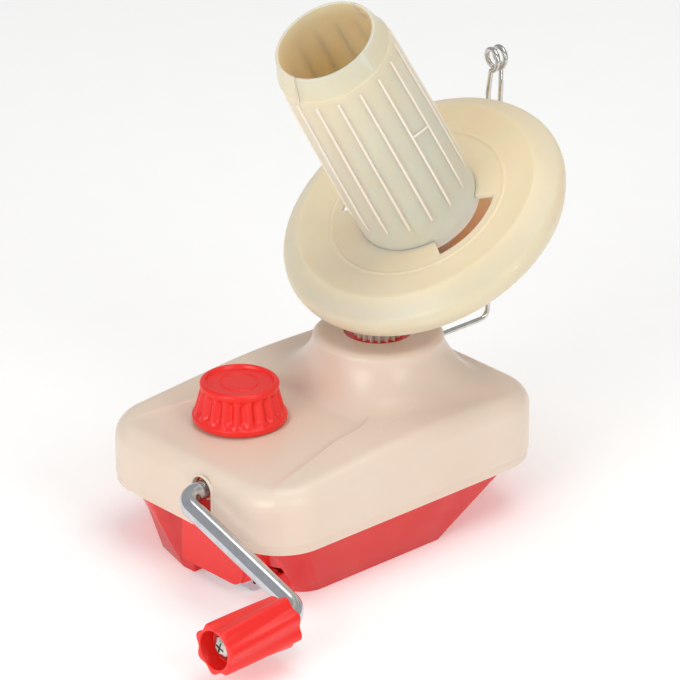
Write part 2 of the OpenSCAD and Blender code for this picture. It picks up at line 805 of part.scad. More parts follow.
module flange_dish() {
    under = tube_wall;
    color(cream) on_tilt(dish_drop) difference() {
        union() {
            rotate_extrude($fn = 96) polygon([
                [0, dish_floor_h], [dish_ring_r - 1.5, dish_floor_h], [dish_ring_r, dish_ring_h],
                [dish_ring_r + 0.7, dish_ring_h - 0.3], [dish_shoulder_r - 2, dish_shoulder_h],
                [dish_shoulder_r, dish_shoulder_h - 0.3], [dish_r - 5, 5.4], [dish_r - 1.7, 3.1],
                [dish_r - 0.4, 1.5], [dish_r, 0], [dish_r - 0.8, -3.5], [skirt_r, -skirt_h],
                [skirt_r - under + 0.2, -skirt_h + 0.3], [dish_r - under - 0.8, -3.2],
                [dish_r - under, 0], [dish_r - under - 1, 1.4], [dish_r - under - 4.1, 3.7],
                [dish_shoulder_r - 0.8, dish_shoulder_h - under - 0.4],
                [dish_shoulder_r - 2.2, dish_shoulder_h - under], [dish_ring_r, dish_floor_h - under + 0.2],
                [dish_ring_r - 1.5, dish_floor_h - under], [dish_hub_r, dish_floor_h - under],
                [dish_hub_r, dish_drop - dish_hub_s], [0, dish_drop - dish_hub_s]]);
            for (i = [0:5]) rotate(60 * i + 30) translate([dish_hub_r - 1, -0.8, dish_floor_h - under - 4])
                cube([window_r0 - dish_hub_r, 1.6, 4.5]);
        }
        for (a = [0, 180]) rotate(a - window_angle / 2) translate([0, 0, dish_floor_h - 4])
            rotate_extrude(angle = window_angle) translate([window_r0, 0])
                square([window_r1 - window_r0, 8]);
        translate([0, 0, dish_drop - dish_hub_s - 1])
            cylinder(r = axle_r, h = dish_hub_s - axle_s0 + 1);
    }
}

module tube_axle() {
    color(steel) on_tilt(axle_s1) difference() {
        cylinder(r = axle_r, h = axle_s1 - axle_s0);
        translate([0, 0, -1]) cylinder(r = 1.5, h = 10);
    }
}

module tube_gear() {
    color(cream) difference() {
        union() {
            on_tilt(0) rotate(-90) bevel_teeth(tube_n, tube_cone);
            on_tilt(axle_s1) cylinder(r = 8, h = axle_s1 - ring_s1 - 0.5 - end_gap);
        }
        on_tilt(axle_s1 + 1) cylinder(r = axle_r, h = axle_s1 - gear_s0 + 10);
    }
}

module tube_screw() {
    color(steel) on_tilt(axle_s1 + 2.4) difference() {
        union() {
            cylinder(r = 5, h = 2.4);
            cylinder(r = 1.5, h = 10);
        }
        translate([0, 0, -0.8]) cylinder(r = 2, h = 2, $fn = 6);
    }
}

// Clamp
module fluted(r, n, depth) {
    polygon([for (i = [0:n * 6 - 1])
        let (a = 60 * i / n, q = r - depth * pow(cos(n * a / 2), 4)) q * [cos(a), sin(a)]]);
}

module clamp_knob() {
    top_r = knob_r - 3.5;
    color(red) translate([knob_x, knob_y, knob_z0]) difference() {
        union() {
            rotate_extrude() polygon([[0, 0], [knob_r - 0.4, 0], [knob_r, 0.5], [knob_r, knob_band - 0.5],
                                      [knob_r - 0.6, knob_band], [0, knob_band]]);
            translate([0, 0, knob_band - 0.5])
                linear_extrude(knob_h - knob_band - 1.5, scale = (top_r + 0.2) / (knob_r - 0.5))
                    fluted(knob_r - 0.5, flute_n, flute_depth);
            translate([0, 0, knob_h - 3.4]) rotate_extrude()
                polygon([[0, 0], [top_r - 1.2, 0], [top_r, 1.2], [top_r, 2.8], [top_r - 0.8, 3.4], [0, 3.4]]);
        }
        translate([0, 0, knob_h - 1.3]) cylinder(r = top_r - 2.2, h = 3);
        translate([0, 0, knob_h - 2]) tube(8.4, 7.6, 3);
        translate([0, 0, -1]) cylinder(r = pad_r + 0.8, h = washer_z0 + washer_t - knob_z0 + 1);
        translate([0, 0, -1]) cylinder(r = screw_r, h = screw_top_z - knob_z0 + 1);
    }
}

module clamp_screw() {
    color(steel) translate([knob_x, knob_y, screw_foot_z])
        cylinder(r = screw_r, h = screw_top_z - screw_foot_z);
}

module knob_washer() {
    color(steel) translate([knob_x, knob_y, washer_z0]) tube(washer_r, screw_r, washer_t);
}

// Bent strip: its outline is drawn in the YZ plane, corner by corner
function turn_arc(c, r, a0, a1) =
    [for (k = [0:4]) let (a = a0 + (a1 - a0) * k / 4) c + r * [cos(a), sin(a)]];

module clamp_jaw() {
    ri = jaw_bend_r;
    ro = jaw_bend_r + jaw_t;
    low = [jaw_y0 + ro, jaw_z0 + ro];
    high = [jaw_y0 + ro, jaw_arm_z + jaw_t - ro];
    strip = concat([[jaw_y1, jaw_z0]], turn_arc(low, ro, 270, 180), turn_arc(high, ro, 180, 90),
                   [[jaw_y0 + 14, jaw_arm_z + jaw_t], [jaw_y0 + 14, jaw_arm_z]],
                   turn_arc(high, ri, 90, 180), turn_arc(low, ri, 180, 270), [[jaw_y1, jaw_z0 + jaw_t]]);
    x0 = jaw_x - jaw_w / 2;
    x1 = jaw_x + jaw_w / 2;
    color(steel) difference() {
        union() {
            translate([x0, 0, 0]) rotate([90, 0, 90]) linear_extrude(jaw_w) polygon(strip);
            translate([0, 0, jaw_arm_z]) linear_extrude(jaw_t) polygon([
                [x0, jaw_y0 + 13], [x1, jaw_y0 + 13], [x1, jaw_y0 + 20], [knob_x + 9, knob_y + 9],
                [knob_x, knob_y + 11], [knob_x - 9, knob_y + 9], [knob_x - 11, knob_y],
                [knob_x - 9, knob_y - 9]]);
        }
        translate([knob_x, knob_y, jaw_arm_z - 1]) cylinder(r = screw_r + 0.4, h = jaw_t + 2);
    }
}

module clamp_nut() {
    color(steel) translate([knob_x, knob_y, jaw_arm_z - nut_h]) difference() {
        cylinder(r = nut_r, h = nut_h, $fn = 6);
        translate([0, 0, -1]) cylinder(r = screw_r + run_gap, h = nut_h + 2);
    }
}

// Yarn guide: one wire that rises, coils twice round the eye and comes down again
function eye_point(a) = [
    guide_x + eye_r * sin(a),
    guide_y + eye_back + eye_pitch * (a / 360 - eye_turns / 2),
    eye_z - eye_r * cos(a)];

eye_start = 18;
eye_end = 360 * eye_turns - 18;
guide_path = concat(
    [for (a = [0:15:90])
        [guide_x, guide_y - guide_bend_r * (1 - sin(a)), guide_z + guide_bend_r * (1 - cos(a))]],
    [[guide_x, guide_y, guide_z + 20], [guide_x, guide_y + eye_back - eye_pitch, eye_z - 14]],
    [for (a = [eye_start:eye_step:eye_end]) eye_point(a)],
    [[guide_x, guide_y + eye_back + eye_pitch - 1.5, eye_z - 14],
     [guide_x, guide_y + wire_d + 0.6, free_end_z]]);

// Wire along a path: each ring stands square to the mean direction of its two neighbours
function unit(v) = v / norm(v);

module wire(path, r) {
    last = len(path) - 1;
    loft([for (i = [0:last])
        let (t = unit(path[min(i + 1, last)] - path[max(i - 1, 0)]),
             u = unit(cross(abs(t.x) < 0.95 ? [1, 0, 0] : [0, 1, 0], t)),
             v = cross(t, u))
        [for (k = [0:7]) path[i] + r * (cos(45 * k) * u + sin(45 * k) * v)]]);
}

module yarn_guide() {
    color(steel) union() {
        translate([guide_x, 0, guide_z]) along_y(guide_in_y, guide_y - guide_bend_r + 0.5) circle(wire_r);
        wire(guide_path, wire_r + 0.04);
    }
}

top_cover();
base_tub();
gear_frame();
sun_gear();
spindle_foot_bush();
spindle_neck_bush();
crank_bushes();
case_screws();
frame_screws();
guide_socket();
crank_rod();
crown_wheel();
crank_clip();
handle_grip();
grip_screw();
spindle();
spindle_pinion();
carrier();
carrier_screw();
carrier_bush();
yarn_tube();
flange_dish();
tube_axle();
tube_gear();
tube_screw();
clamp_knob();
clamp_screw();
knob_washer();
clamp_jaw();
clamp_nut();
yarn_guide();
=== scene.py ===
import math
import bmesh
import bpy
import numpy as np
from mathutils import Matrix, Vector


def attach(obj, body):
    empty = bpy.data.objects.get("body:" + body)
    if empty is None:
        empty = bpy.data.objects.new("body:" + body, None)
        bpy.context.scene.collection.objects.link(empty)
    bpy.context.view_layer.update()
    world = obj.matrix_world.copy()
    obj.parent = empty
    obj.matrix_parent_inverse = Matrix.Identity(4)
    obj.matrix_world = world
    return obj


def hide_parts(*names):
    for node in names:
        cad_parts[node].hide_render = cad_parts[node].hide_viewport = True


# Yarn ball winder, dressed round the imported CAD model. Sizes in the dictionaries are millimetres.
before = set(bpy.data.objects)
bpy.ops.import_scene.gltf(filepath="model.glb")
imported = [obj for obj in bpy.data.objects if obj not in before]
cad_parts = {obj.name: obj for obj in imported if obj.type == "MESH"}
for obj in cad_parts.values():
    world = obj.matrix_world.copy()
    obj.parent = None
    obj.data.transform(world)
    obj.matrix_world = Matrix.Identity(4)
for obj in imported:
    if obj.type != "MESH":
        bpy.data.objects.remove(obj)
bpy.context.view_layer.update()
print("frame loaded:", len(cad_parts), "nodes")

mm = 0.001
scene = bpy.context.scene
scene.view_settings.view_transform = "Standard"  # keeps the reds as strong as the plastic is

# Camera at the photograph's angle, three softboxes in a white tent, and seamless paper
camera = {"place": (1.4238, -1.2790, 0.9707), "azimuth": 47.86, "elevation": 24.97, "lens": 273.7}
studio = {
    "paper": "#FBFBFA", "paperGrain": "#F7F7F6", "reach": 9.0, "drop": 0.0002, "sky": "#FFFFFF",
    "skyPower": 0.46, "backlight": 0.20, "aim": (0.0, 0.0, 0.09),
    "softboxes": {
        "softboxFront": {"place": (0.30, -1.40, 0.70), "size": (0.8, 0.8), "power": 8.0},
        "softboxTop": {"place": (0.15, 0.25, 1.50), "size": (1.0, 1.0), "power": 6.3},
        "softboxRight": {"place": (1.40, -0.10, 0.80), "size": (0.5, 1.0), "power": 4.5},
    },
}


def toLinear(hexText):
    parts = [int(hexText[i:i + 2], 16) / 255 for i in (1, 3, 5)]
    return tuple(c / 12.92 if c <= 0.04045 else ((c + 0.055) / 1.055) ** 2.4 for c in parts) + (1.0,)


def addNode(tree, kind, inputs=None, **settings):
    made = tree.nodes.new(kind)
    for name, value in settings.items():
        setattr(made, name, value)
    for socket, value in (inputs or {}).items():
        if isinstance(value, bpy.types.NodeSocket):
            tree.links.new(value, made.inputs[socket])
        else:
            made.inputs[socket].default_value = value
    return made


def addCamera():
    azimuth, elevation = math.radians(camera["azimuth"]), math.radians(camera["elevation"])
    back = Vector((math.sin(azimuth) * math.cos(elevation), -math.cos(azimuth) * math.cos(elevation),
                   math.sin(elevation)))
    right = Vector((math.cos(azimuth), math.sin(azimuth), 0))
    turn = Matrix((right, back.cross(right), back)).transposed().to_4x4()
    data = bpy.data.cameras.new("studioCamera")
    data.lens = camera["lens"]
    data.sensor_width = 36
    data.clip_start, data.clip_end = 0.05, 40
    obj = bpy.data.objects.new("studioCamera", data)
    scene.collection.objects.link(obj)
    obj.matrix_world = Matrix.Translation(camera["place"]) @ turn
    scene.camera = obj


def addSoftbox(name, box):
    data = bpy.data.lights.new(name, "AREA")
    data.shape = "RECTANGLE"
    data.size, data.size_y = box["size"]
    data.energy = box["power"]
    obj = bpy.data.objects.new(name, data)
    scene.collection.objects.link(obj)
    obj.location = box["place"]
    aim = Vector(studio["aim"]) - Vector(box["place"])
    obj.rotation_euler = aim.to_track_quat("-Z", "Y").to_euler()


def addStudio():
    world = bpy.data.worlds.new("softTent")
    scene.world = world
    world.use_nodes = True
    world.node_tree.nodes.clear()
    sky = addNode(world.node_tree, "ShaderNodeBackground",
                  {"Color": toLinear(studio["sky"]), "Strength": studio["skyPower"]})
    addNode(world.node_tree, "ShaderNodeOutputWorld", {"Surface": sky.outputs[0]})
    for name, box in studio["softboxes"].items():
        addSoftbox(name, box)
    mesh = bpy.data.meshes.new("paleFloor")
    r = studio["reach"]
    mesh.from_pydata([(-r, -r, 0), (r, -r, 0), (r, r, 0), (-r, r, 0)], [], [(0, 1, 2, 3)])
    floor = bpy.data.objects.new("paleFloor", mesh)
    scene.collection.objects.link(floor)
    floor.location.z = -studio["drop"]
    paper = bpy.data.materials.new("matteBackdropPaper")  # seamless paper: matte, with a faint felt
    paper.use_nodes = True
    tree = paper.node_tree
    tree.nodes.clear()
    felt = addNode(tree, "ShaderNodeTexNoise", {"Scale": 900.0, "Detail": 2.0})
    tone = addNode(tree, "ShaderNodeValToRGB", {"Fac": felt.outputs["Fac"]})
    tone.color_ramp.elements[0].color = toLinear(studio["paperGrain"])
    tone.color_ramp.elements[1].color = toLinear(studio["paper"])
    skin = addNode(tree, "ShaderNodeBsdfPrincipled", {
        "Base Color": tone.outputs[0], "Roughness": 0.9, "Emission Color": toLinear(studio["paper"]),
        "Emission Strength": studio["backlight"]})
    addNode(tree, "ShaderNodeOutputMaterial", {"Surface": skin.outputs[0]})
    mesh.materials.append(paper)


addCamera()
addStudio()
print("camera, light and floor made")

# Injection-moulded plastics. The melt leaves faint clouds of pigment, the mould a fine orange peel,
# and cooling pulls the flat walls in by a few hundredths, which bends what they mirror.
# each edge colour goes on convex edges and ridges: partly handling wear, partly a painted highlight
plastics = {
    "mouldedCreamAbs": {"light": "#EDDAC8", "dark": "#E8D4C0", "cloud": 70, "gloss": (0.285, 0.34),
                        "peel": 2.4, "peelDeep": 0.003, "sink": 34, "sinkDeep": 0.06,
                        "bleed": 0.15, "bleedDeep": 3.0, "edge": "#F4E9D8", "rounding": 0},
    "mouldedCreamTube": {"light": "#EED8BF", "dark": "#E9D1B6", "cloud": 48, "gloss": (0.32, 0.40),
                         "peel": 2.0, "peelDeep": 0.003, "sink": 26, "sinkDeep": 0.05,
                         "bleed": 0.9, "bleedDeep": 13.0, "edge": "#FAF1E2", "rounding": 0},
    # the ribs are the tube's own plastic, made paler here as a painted highlight on the lit rib crests
    "mouldedCreamRibPaintedHighlight": {"light": "#F7EBDA", "dark": "#F2E3CF", "cloud": 48, "gloss": (0.285, 0.34),
                        "peel": 2.0, "peelDeep": 0.002, "sink": 26, "sinkDeep": 0.03,
                        "bleed": 0.05, "bleedDeep": 1.0, "edge": "#FFFAF0", "rounding": 0},
    "mouldedRedStyrene": {"light": "#F11C1B", "dark": "#E81616", "cloud": 60, "gloss": (0.10, 0.20),
                          "peel": 2.2, "peelDeep": 0.003, "sink": 15, "sinkDeep": 0.30,
                          "bleed": 0.04, "bleedDeep": 1.5, "edge": "#EE3A34", "rounding": 0.6},
    "mouldedRedGrip": {"light": "#F9271E", "dark": "#F4201B", "cloud": 30, "gloss": (0.285, 0.35),
                       "peel": 1.8, "peelDeep": 0.002, "sink": 14, "sinkDeep": 0.03,
                       "bleed": 0.08, "bleedDeep": 1.5, "edge": "#F6523F", "rounding": 0},
}
metals = {
    "zincPlatedSteel": {"light": "#D6D8DE", "dark": "#C6C9D0", "spangle": 5, "gloss": (0.12, 0.20),
                        "line": 0.9, "lineDeep": 0.006},
    "nickelPlatedWire": {"light": "#D9D7D2", "dark": "#C2BFB9", "spangle": 6, "gloss": (0.12, 0.22),
                         "line": 0.3, "lineDeep": 0.005},
}


def scaleOf(sizeMm):
    return 1 / (sizeMm * mm)


def newFinish(name):
    material = bpy.data.materials.new(name)
    material.use_nodes = True
    material.node_tree.nodes.clear()
    return material, material.node_tree


def twoTone(tree, factor, dark, light, low=0.3, high=0.7):
    ramp = addNode(tree, "ShaderNodeValToRGB", {"Fac": factor})
    ramp.color_ramp.elements[0].position, ramp.color_ramp.elements[1].position = low, high
    ramp.color_ramp.elements[0].color, ramp.color_ramp.elements[1].color = dark, light
    return ramp.outputs["Color"]


def plasticFinish(name):
    p = plastics[name]
    material, tree = newFinish(name)
    place = addNode(tree, "ShaderNodeTexCoord").outputs["Object"]
    cloud = addNode(tree, "ShaderNodeTexNoise",
                    {"Vector": place, "Scale": scaleOf(p["cloud"]), "Detail": 3.0, "Distortion": 0.5})
    colour = twoTone(tree, cloud.outputs["Fac"], toLinear(p["dark"]), toLinear(p["light"]))
    # convexity mask: sharp outer edges and rib crests take the plastic's edge colour, part wear and part
    # painted highlight
    ridge = addNode(tree, "ShaderNodeNewGeometry").outputs["Pointiness"]
    edgeWearAndHighlight = addNode(tree, "ShaderNodeMapRange",
                   {"Value": ridge, "From Min": 0.53, "From Max": 0.62, "To Min": 0.0, "To Max": 0.4})
    wearAndHighlightTone = addNode(tree, "ShaderNodeMix", {0: edgeWearAndHighlight.outputs[0], 6: colour, 7: toLinear(p["edge"])},
                     data_type="RGBA")  # outer edges and convex ridges painted paler: partly scuffed by handling, partly a painted highlight on the crests
    smear = addNode(tree, "ShaderNodeTexNoise", {"Vector": place, "Scale": scaleOf(12), "Detail": 4.0})
    gloss = addNode(tree, "ShaderNodeMapRange",
                    {"Value": smear.outputs["Fac"], "From Min": 0.35, "From Max": 0.7,
                     "To Min": p["gloss"][0], "To Max": p["gloss"][1]})  # handled, unevenly polished sheen
    sink = addNode(tree, "ShaderNodeTexNoise",
                   {"Vector": place, "Scale": scaleOf(p["sink"]), "Detail": 1.0, "Distortion": 0.4})
    wavy = addNode(tree, "ShaderNodeBump", {"Height": sink.outputs["Fac"], "Strength": 1.0,
                                            "Distance": p["sinkDeep"] * mm})
    if p["rounding"]:  # the CAD solids have true, sharp edges: this rounds the light on them
        edges = addNode(tree, "ShaderNodeBevel", {"Radius": p["rounding"] * mm}, samples=8)
        tree.links.new(edges.outputs[0], wavy.inputs["Normal"])
    peel = addNode(tree, "ShaderNodeTexNoise", {"Vector": place, "Scale": scaleOf(p["peel"]), "Detail": 2.0})
    skin = addNode(tree, "ShaderNodeBump", {"Height": peel.outputs["Fac"], "Strength": 1.0,
                                            "Distance": p["peelDeep"] * mm, "Normal": wavy.outputs[0]})
    shader = addNode(tree, "ShaderNodeBsdfPrincipled", {
        "Base Color": wearAndHighlightTone.outputs[2], "Roughness": gloss.outputs[0], "Normal": skin.outputs[0],
        "IOR": 1.53, "Subsurface Weight": p["bleed"], "Subsurface Radius": (1.0, 0.6, 0.35),
        "Subsurface Scale": p["bleedDeep"] * mm})
    addNode(tree, "ShaderNodeOutputMaterial", {"Surface": shader.outputs[0]})
    return material


# Bright zinc and nickel plating: fine spangle in the shine, and on drawn rod and wire the faint lines
# that the drawing die leaves along it, laid on the sweep's own ringSpot and rodLength attributes.
def metalFinish(name, lines=None):
    p = metals[name]
    material, tree = newFinish(name + ("Drawn" if lines else ""))
    place = addNode(tree, "ShaderNodeTexCoord").outputs["Object"]
    spangle = addNode(tree, "ShaderNodeTexNoise",
                      {"Vector": place, "Scale": scaleOf(p["spangle"]), "Detail": 5.0, "Roughness": 0.6})
    colour = twoTone(tree, spangle.outputs["Fac"], toLinear(p["dark"]), toLinear(p["light"]), 0.35, 0.65)
    dull = addNode(tree, "ShaderNodeMapRange",
                   {"Value": spangle.outputs["Fac"], "From Min": 0.35, "From Max": 0.65,
                    "To Min": p["gloss"][1], "To Max": p["gloss"][0]})
    if lines:
        ring = addNode(tree, "ShaderNodeAttribute", attribute_name="ringSpot").outputs["Vector"]
        split = addNode(tree, "ShaderNodeSeparateXYZ", {"Vector": ring})
        run = addNode(tree, "ShaderNodeAttribute", attribute_name="rodLength").outputs["Fac"]
        spot = addNode(tree, "ShaderNodeCombineXYZ",
                       {"X": split.outputs["X"], "Y": split.outputs["Y"], "Z": run}).outputs[0]
        place = addNode(tree, "ShaderNodeMapping", {"Vector": spot, "Scale": lines}).outputs[0]
    grain = addNode(tree, "ShaderNodeTexNoise",
                    {"Vector": place, "Scale": 1.0 if lines else scaleOf(p["line"]), "Detail": 3.0})
    skin = addNode(tree, "ShaderNodeBump", {"Height": grain.outputs["Fac"], "Strength": 1.0,
                                            "Distance": p["lineDeep"] * mm})
    shader = addNode(tree, "ShaderNodeBsdfPrincipled", {
        "Base Color": colour, "Roughness": dull.outputs[0], "Normal": skin.outputs[0], "Metallic": 1.0})
    addNode(tree, "ShaderNodeOutputMaterial", {"Surface": shader.outputs[0]})
    return material


# Nylon: milky, softly matte, with grease that darkens the bushes
def nylonFinish(name, light, dark, gloss):
    material, tree = newFinish(name)
    place = addNode(tree, "ShaderNodeTexCoord").outputs["Object"]
    mottle = addNode(tree, "ShaderNodeTexNoise", {"Vector": place, "Scale": scaleOf(4), "Detail": 4.0})
    colour = twoTone(tree, mottle.outputs["Fac"], toLinear(dark), toLinear(light))
    peel = addNode(tree, "ShaderNodeTexNoise", {"Vector": place, "Scale": scaleOf(0.6), "Detail": 2.0})
    skin = addNode(tree, "ShaderNodeBump", {"Height": peel.outputs["Fac"], "Strength": 1.0,
                                            "Distance": 0.01 * mm})
    shader = addNode(tree, "ShaderNodeBsdfPrincipled", {
        "Base Color": colour, "Roughness": gloss, "Normal": skin.outputs[0], "IOR": 1.53,
        "Subsurface Weight": 0.1, "Subsurface Radius": (1.0, 0.8, 0.6), "Subsurface Scale": 0.001})
    addNode(tree, "ShaderNodeOutputMaterial", {"Surface": shader.outputs[0]})
    return material


creamAbs = plasticFinish("mouldedCreamAbs")
creamTube = plasticFinish("mouldedCreamTube")
# paler copy of the tube's cream for the ribs: a painted highlight
ribCreamPaintedHighlight = plasticFinish("mouldedCreamRibPaintedHighlight")
redStyrene = plasticFinish("mouldedRedStyrene")
redGrip = plasticFinish("mouldedRedGrip")
zincSteel = metalFinish("zincPlatedSteel")
zincRod = metalFinish("zincPlatedSteel", lines=(14, 14, 60))
nickelWire = metalFinish("nickelPlatedWire", lines=(6, 6, 90))
nickelSteel = metalFinish("nickelPlatedWire")
nylonGear = nylonFinish("mouldedNylonGear", "#E2DCD0", "#CFC7B8", 0.38)
nylonBush = nylonFinish("greasedNylonBush", "#C79A62", "#A87843", 0.3)
finishOf = {
    creamAbs: ["top_cover", "guide_socket"],
    creamTube: ["yarn_tube", "flange_dish", "tube_gear"],
    redStyrene: ["base_tub", "gear_frame", "carrier"],
    redGrip: ["handle_grip", "clamp_knob"],
    zincSteel: ["crank_rod", "crank_clip", "spindle", "tube_axle", "clamp_screw", "knob_washer",
                "clamp_jaw", "clamp_nut", "case_screws", "frame_screws", "carrier_screw", "tube_screw"],
    nickelSteel: ["grip_screw", "yarn_guide"],
    nylonGear: ["sun_gear", "crown_wheel", "spindle_pinion"],
    nylonBush: ["crank_bushes", "spindle_foot_bush", "spindle_neck_bush", "carrier_bush"],
}
for finish, names in finishOf.items():
    for nodeName in names:
        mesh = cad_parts[nodeName].data
        mesh.materials.clear()
        mesh.materials.append(finish)
print("finishes made")


# Shapes are drawn in millimetres in a piece's own frame, then put in place in the mesh
def newPiece(name, points, faces, finish):
    mesh = bpy.data.meshes.new(name)
    mesh.from_pydata((np.asarray(points, float) * mm).tolist(), [], faces)
    mesh.materials.append(finish)
    piece = bpy.data.objects.new(name, mesh)
    scene.collection.objects.link(piece)
    return piece


def tidyMesh(piece, place=None, sharp=35):
    mesh = piece.data
    if place is not None:
        mesh.transform(place)
    shape = bmesh.new()
    shape.from_mesh(mesh)
    bmesh.ops.remove_doubles(shape, verts=shape.verts, dist=2e-6)
    bmesh.ops.recalc_face_normals(shape, faces=shape.faces)
    shape.to_mesh(mesh)
    shape.free()
    mesh.shade_smooth()
    mesh.set_sharp_from_angle(angle=math.radians(sharp))


def seatPiece(piece, body, slot, *nodes):
    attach(piece, body)
    if nodes:
        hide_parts(*nodes)


def bakeModifiers(piece):
    bpy.context.view_layer.update()
    baked = bpy.data.meshes.new_from_object(piece.evaluated_get(bpy.context.evaluated_depsgraph_get()))
    old = piece.data
    piece.modifiers.clear()
    piece.data = baked
    baked.name = piece.name
    bpy.data.meshes.remove(old)


def cutAway(piece, cutters):
    for cutter in cutters:
        tidyMesh(cutter)
        cut = piece.modifiers.new("cut", "BOOLEAN")
        cut.operation, cut.solver, cut.object = "DIFFERENCE", "MANIFOLD", cutter
    bakeModifiers(piece)
    for cutter in cutters:
        bpy.data.objects.remove(cutter)


def ringStack(rings, closed=False):
    rows, columns = len(rings), len(rings[0])
    faces = [(i * columns + k, i * columns + (k + 1) % columns,
              (i + 1) % rows * columns + (k + 1) % columns, (i + 1) % rows * columns + k)
             for i in range(rows if closed else rows - 1) for k in range(columns)]
    if not closed:
        faces.append(tuple(range(columns)))
        faces.append(tuple((rows - 1) * columns + k for k in range(columns)))
    return np.concatenate([np.asarray(ring, float) for ring in rings]), faces


def prism(outline, low, high, turn=None):
    rings = [[(x, y, z) for x, y in outline] for z in (low, high)]
    points, faces = ringStack(rings)
    if turn is not None:
        points = [tuple(turn @ Vector(p)) for p in points]
    return newPiece("cutter", points, faces, creamAbs)


def softCorners(corners, closed=True, steps=4):
    # each corner is (r, h) or (r, h, rounding); a rounded one becomes a short curve
    path = []
    count = len(corners)
    for i, corner in enumerate(corners):
        spot = Vector(corner[:2])
        reach = corner[2] if len(corner) > 2 else 0
        if reach == 0 or (not closed and i in (0, count - 1)):
            path.append(tuple(spot))
            continue
        before, after = Vector(corners[i - 1][:2]) - spot, Vector(corners[(i + 1) % count][:2]) - spot
        start = spot + before.normalized() * min(reach, before.length * 0.48)
        end = spot + after.normalized() * min(reach, after.length * 0.48)
        for k in range(steps + 1):
            t = k / steps
            path.append(tuple(start * (1 - t) ** 2 + spot * 2 * t * (1 - t) + end * t ** 2))
    return path


def lathe(name, profile, columns, finish, closed=True):
    angles = [2 * math.pi * k / columns for k in range(columns)]
    rings = [[(r * math.cos(a), r * math.sin(a), h) for a in angles] for r, h in profile]
    points, faces = ringStack(rings, closed)
    return newPiece(name, points, faces, finish)


def easeStep(x):
    x = np.clip(x, 0, 1)
    return x * x * (3 - 2 * x)


def smoothMax(a, b, blend):
    overlap = np.maximum(blend - np.abs(a - b), 0) / blend
    return np.maximum(a, b) + overlap ** 2 * blend / 4


# Geometry Nodes trees
def newTree(name, sockets):
    tree = bpy.data.node_groups.new(name, "GeometryNodeTree")
    tree.interface.new_socket("Geometry", in_out="OUTPUT", socket_type="NodeSocketGeometry")
    tree.interface.new_socket("Geometry", in_out="INPUT", socket_type="NodeSocketGeometry")
    for socket, kind in sockets.items():
        tree.interface.new_socket(socket, in_out="INPUT", socket_type="NodeSocket" + kind)
    return tree, addNode(tree, "NodeGroupInput").outputs


def applyTree(piece, tree, values):
    grown = piece.modifiers.new(tree.name, "NODES")
    grown.node_group = tree
    keys = {item.name: item.identifier for item in tree.interface.items_tree if item.in_out == "INPUT"}
    for name, value in values.items():
        grown[keys[name]] = value
    bakeModifiers(piece)


def maths(tree, operation, *values, **settings):
    return addNode(tree, "ShaderNodeMath", dict(enumerate(values)), operation=operation, **settings).outputs[0]


# Presses Count hollows into the side of a turned body, twisting with its height
def flutedSideTree():
    tree, given = newTree("flutedSide", {"Count": "Float", "Depth": "Float", "Sharpness": "Float",
                                         "Twist": "Float", "Low": "Float", "High": "Float",
                                         "Fade": "Float", "Core": "Float", "Finish": "Material"})
    spot = addNode(tree, "GeometryNodeInputPosition").outputs[0]
    part = addNode(tree, "ShaderNodeSeparateXYZ", {"Vector": spot}).outputs
    angle = maths(tree, "ARCTAN2", part["Y"], part["X"])
    turned = maths(tree, "ADD", angle, maths(tree, "MULTIPLY", part["Z"], given["Twist"]))
    wave = maths(tree, "COSINE", maths(tree, "MULTIPLY", turned, given["Count"]))
    hollow = maths(tree, "POWER", maths(tree, "MULTIPLY_ADD", wave, 0.5, 0.5), given["Sharpness"])
    rise = maths(tree, "DIVIDE", maths(tree, "SUBTRACT", part["Z"], given["Low"]), given["Fade"],
                 use_clamp=True)
    fall = maths(tree, "DIVIDE", maths(tree, "SUBTRACT", given["High"], part["Z"]), given["Fade"],
                 use_clamp=True)
    fade = maths(tree, "MULTIPLY", maths(tree, "SMOOTH_MIN", rise, fall, 0.2), hollow)
    flat = addNode(tree, "ShaderNodeCombineXYZ", {"X": part["X"], "Y": part["Y"]}).outputs[0]
    radius = addNode(tree, "ShaderNodeVectorMath", {0: flat}, operation="LENGTH").outputs["Value"]
    outer = maths(tree, "GREATER_THAN", radius, given["Core"])
    push = maths(tree, "MULTIPLY", maths(tree, "MULTIPLY", fade, given["Depth"]), outer)
    inward = maths(tree, "DIVIDE", push, maths(tree, "MULTIPLY", radius, -1.0))
    offset = addNode(tree, "ShaderNodeVectorMath", {0: flat, "Scale": inward}, operation="SCALE").outputs[0]
    moved = addNode(tree, "GeometryNodeSetPosition", {"Geometry": given["Geometry"], "Offset": offset})
    real = addNode(tree, "GeometryNodeRealizeInstances", {"Geometry": moved.outputs[0]})
    painted = addNode(tree, "GeometryNodeSetMaterial",
                      {"Geometry": real.outputs[0], "Material": given["Finish"]})
    addNode(tree, "NodeGroupOutput", {"Geometry": painted.outputs[0]})
    return tree


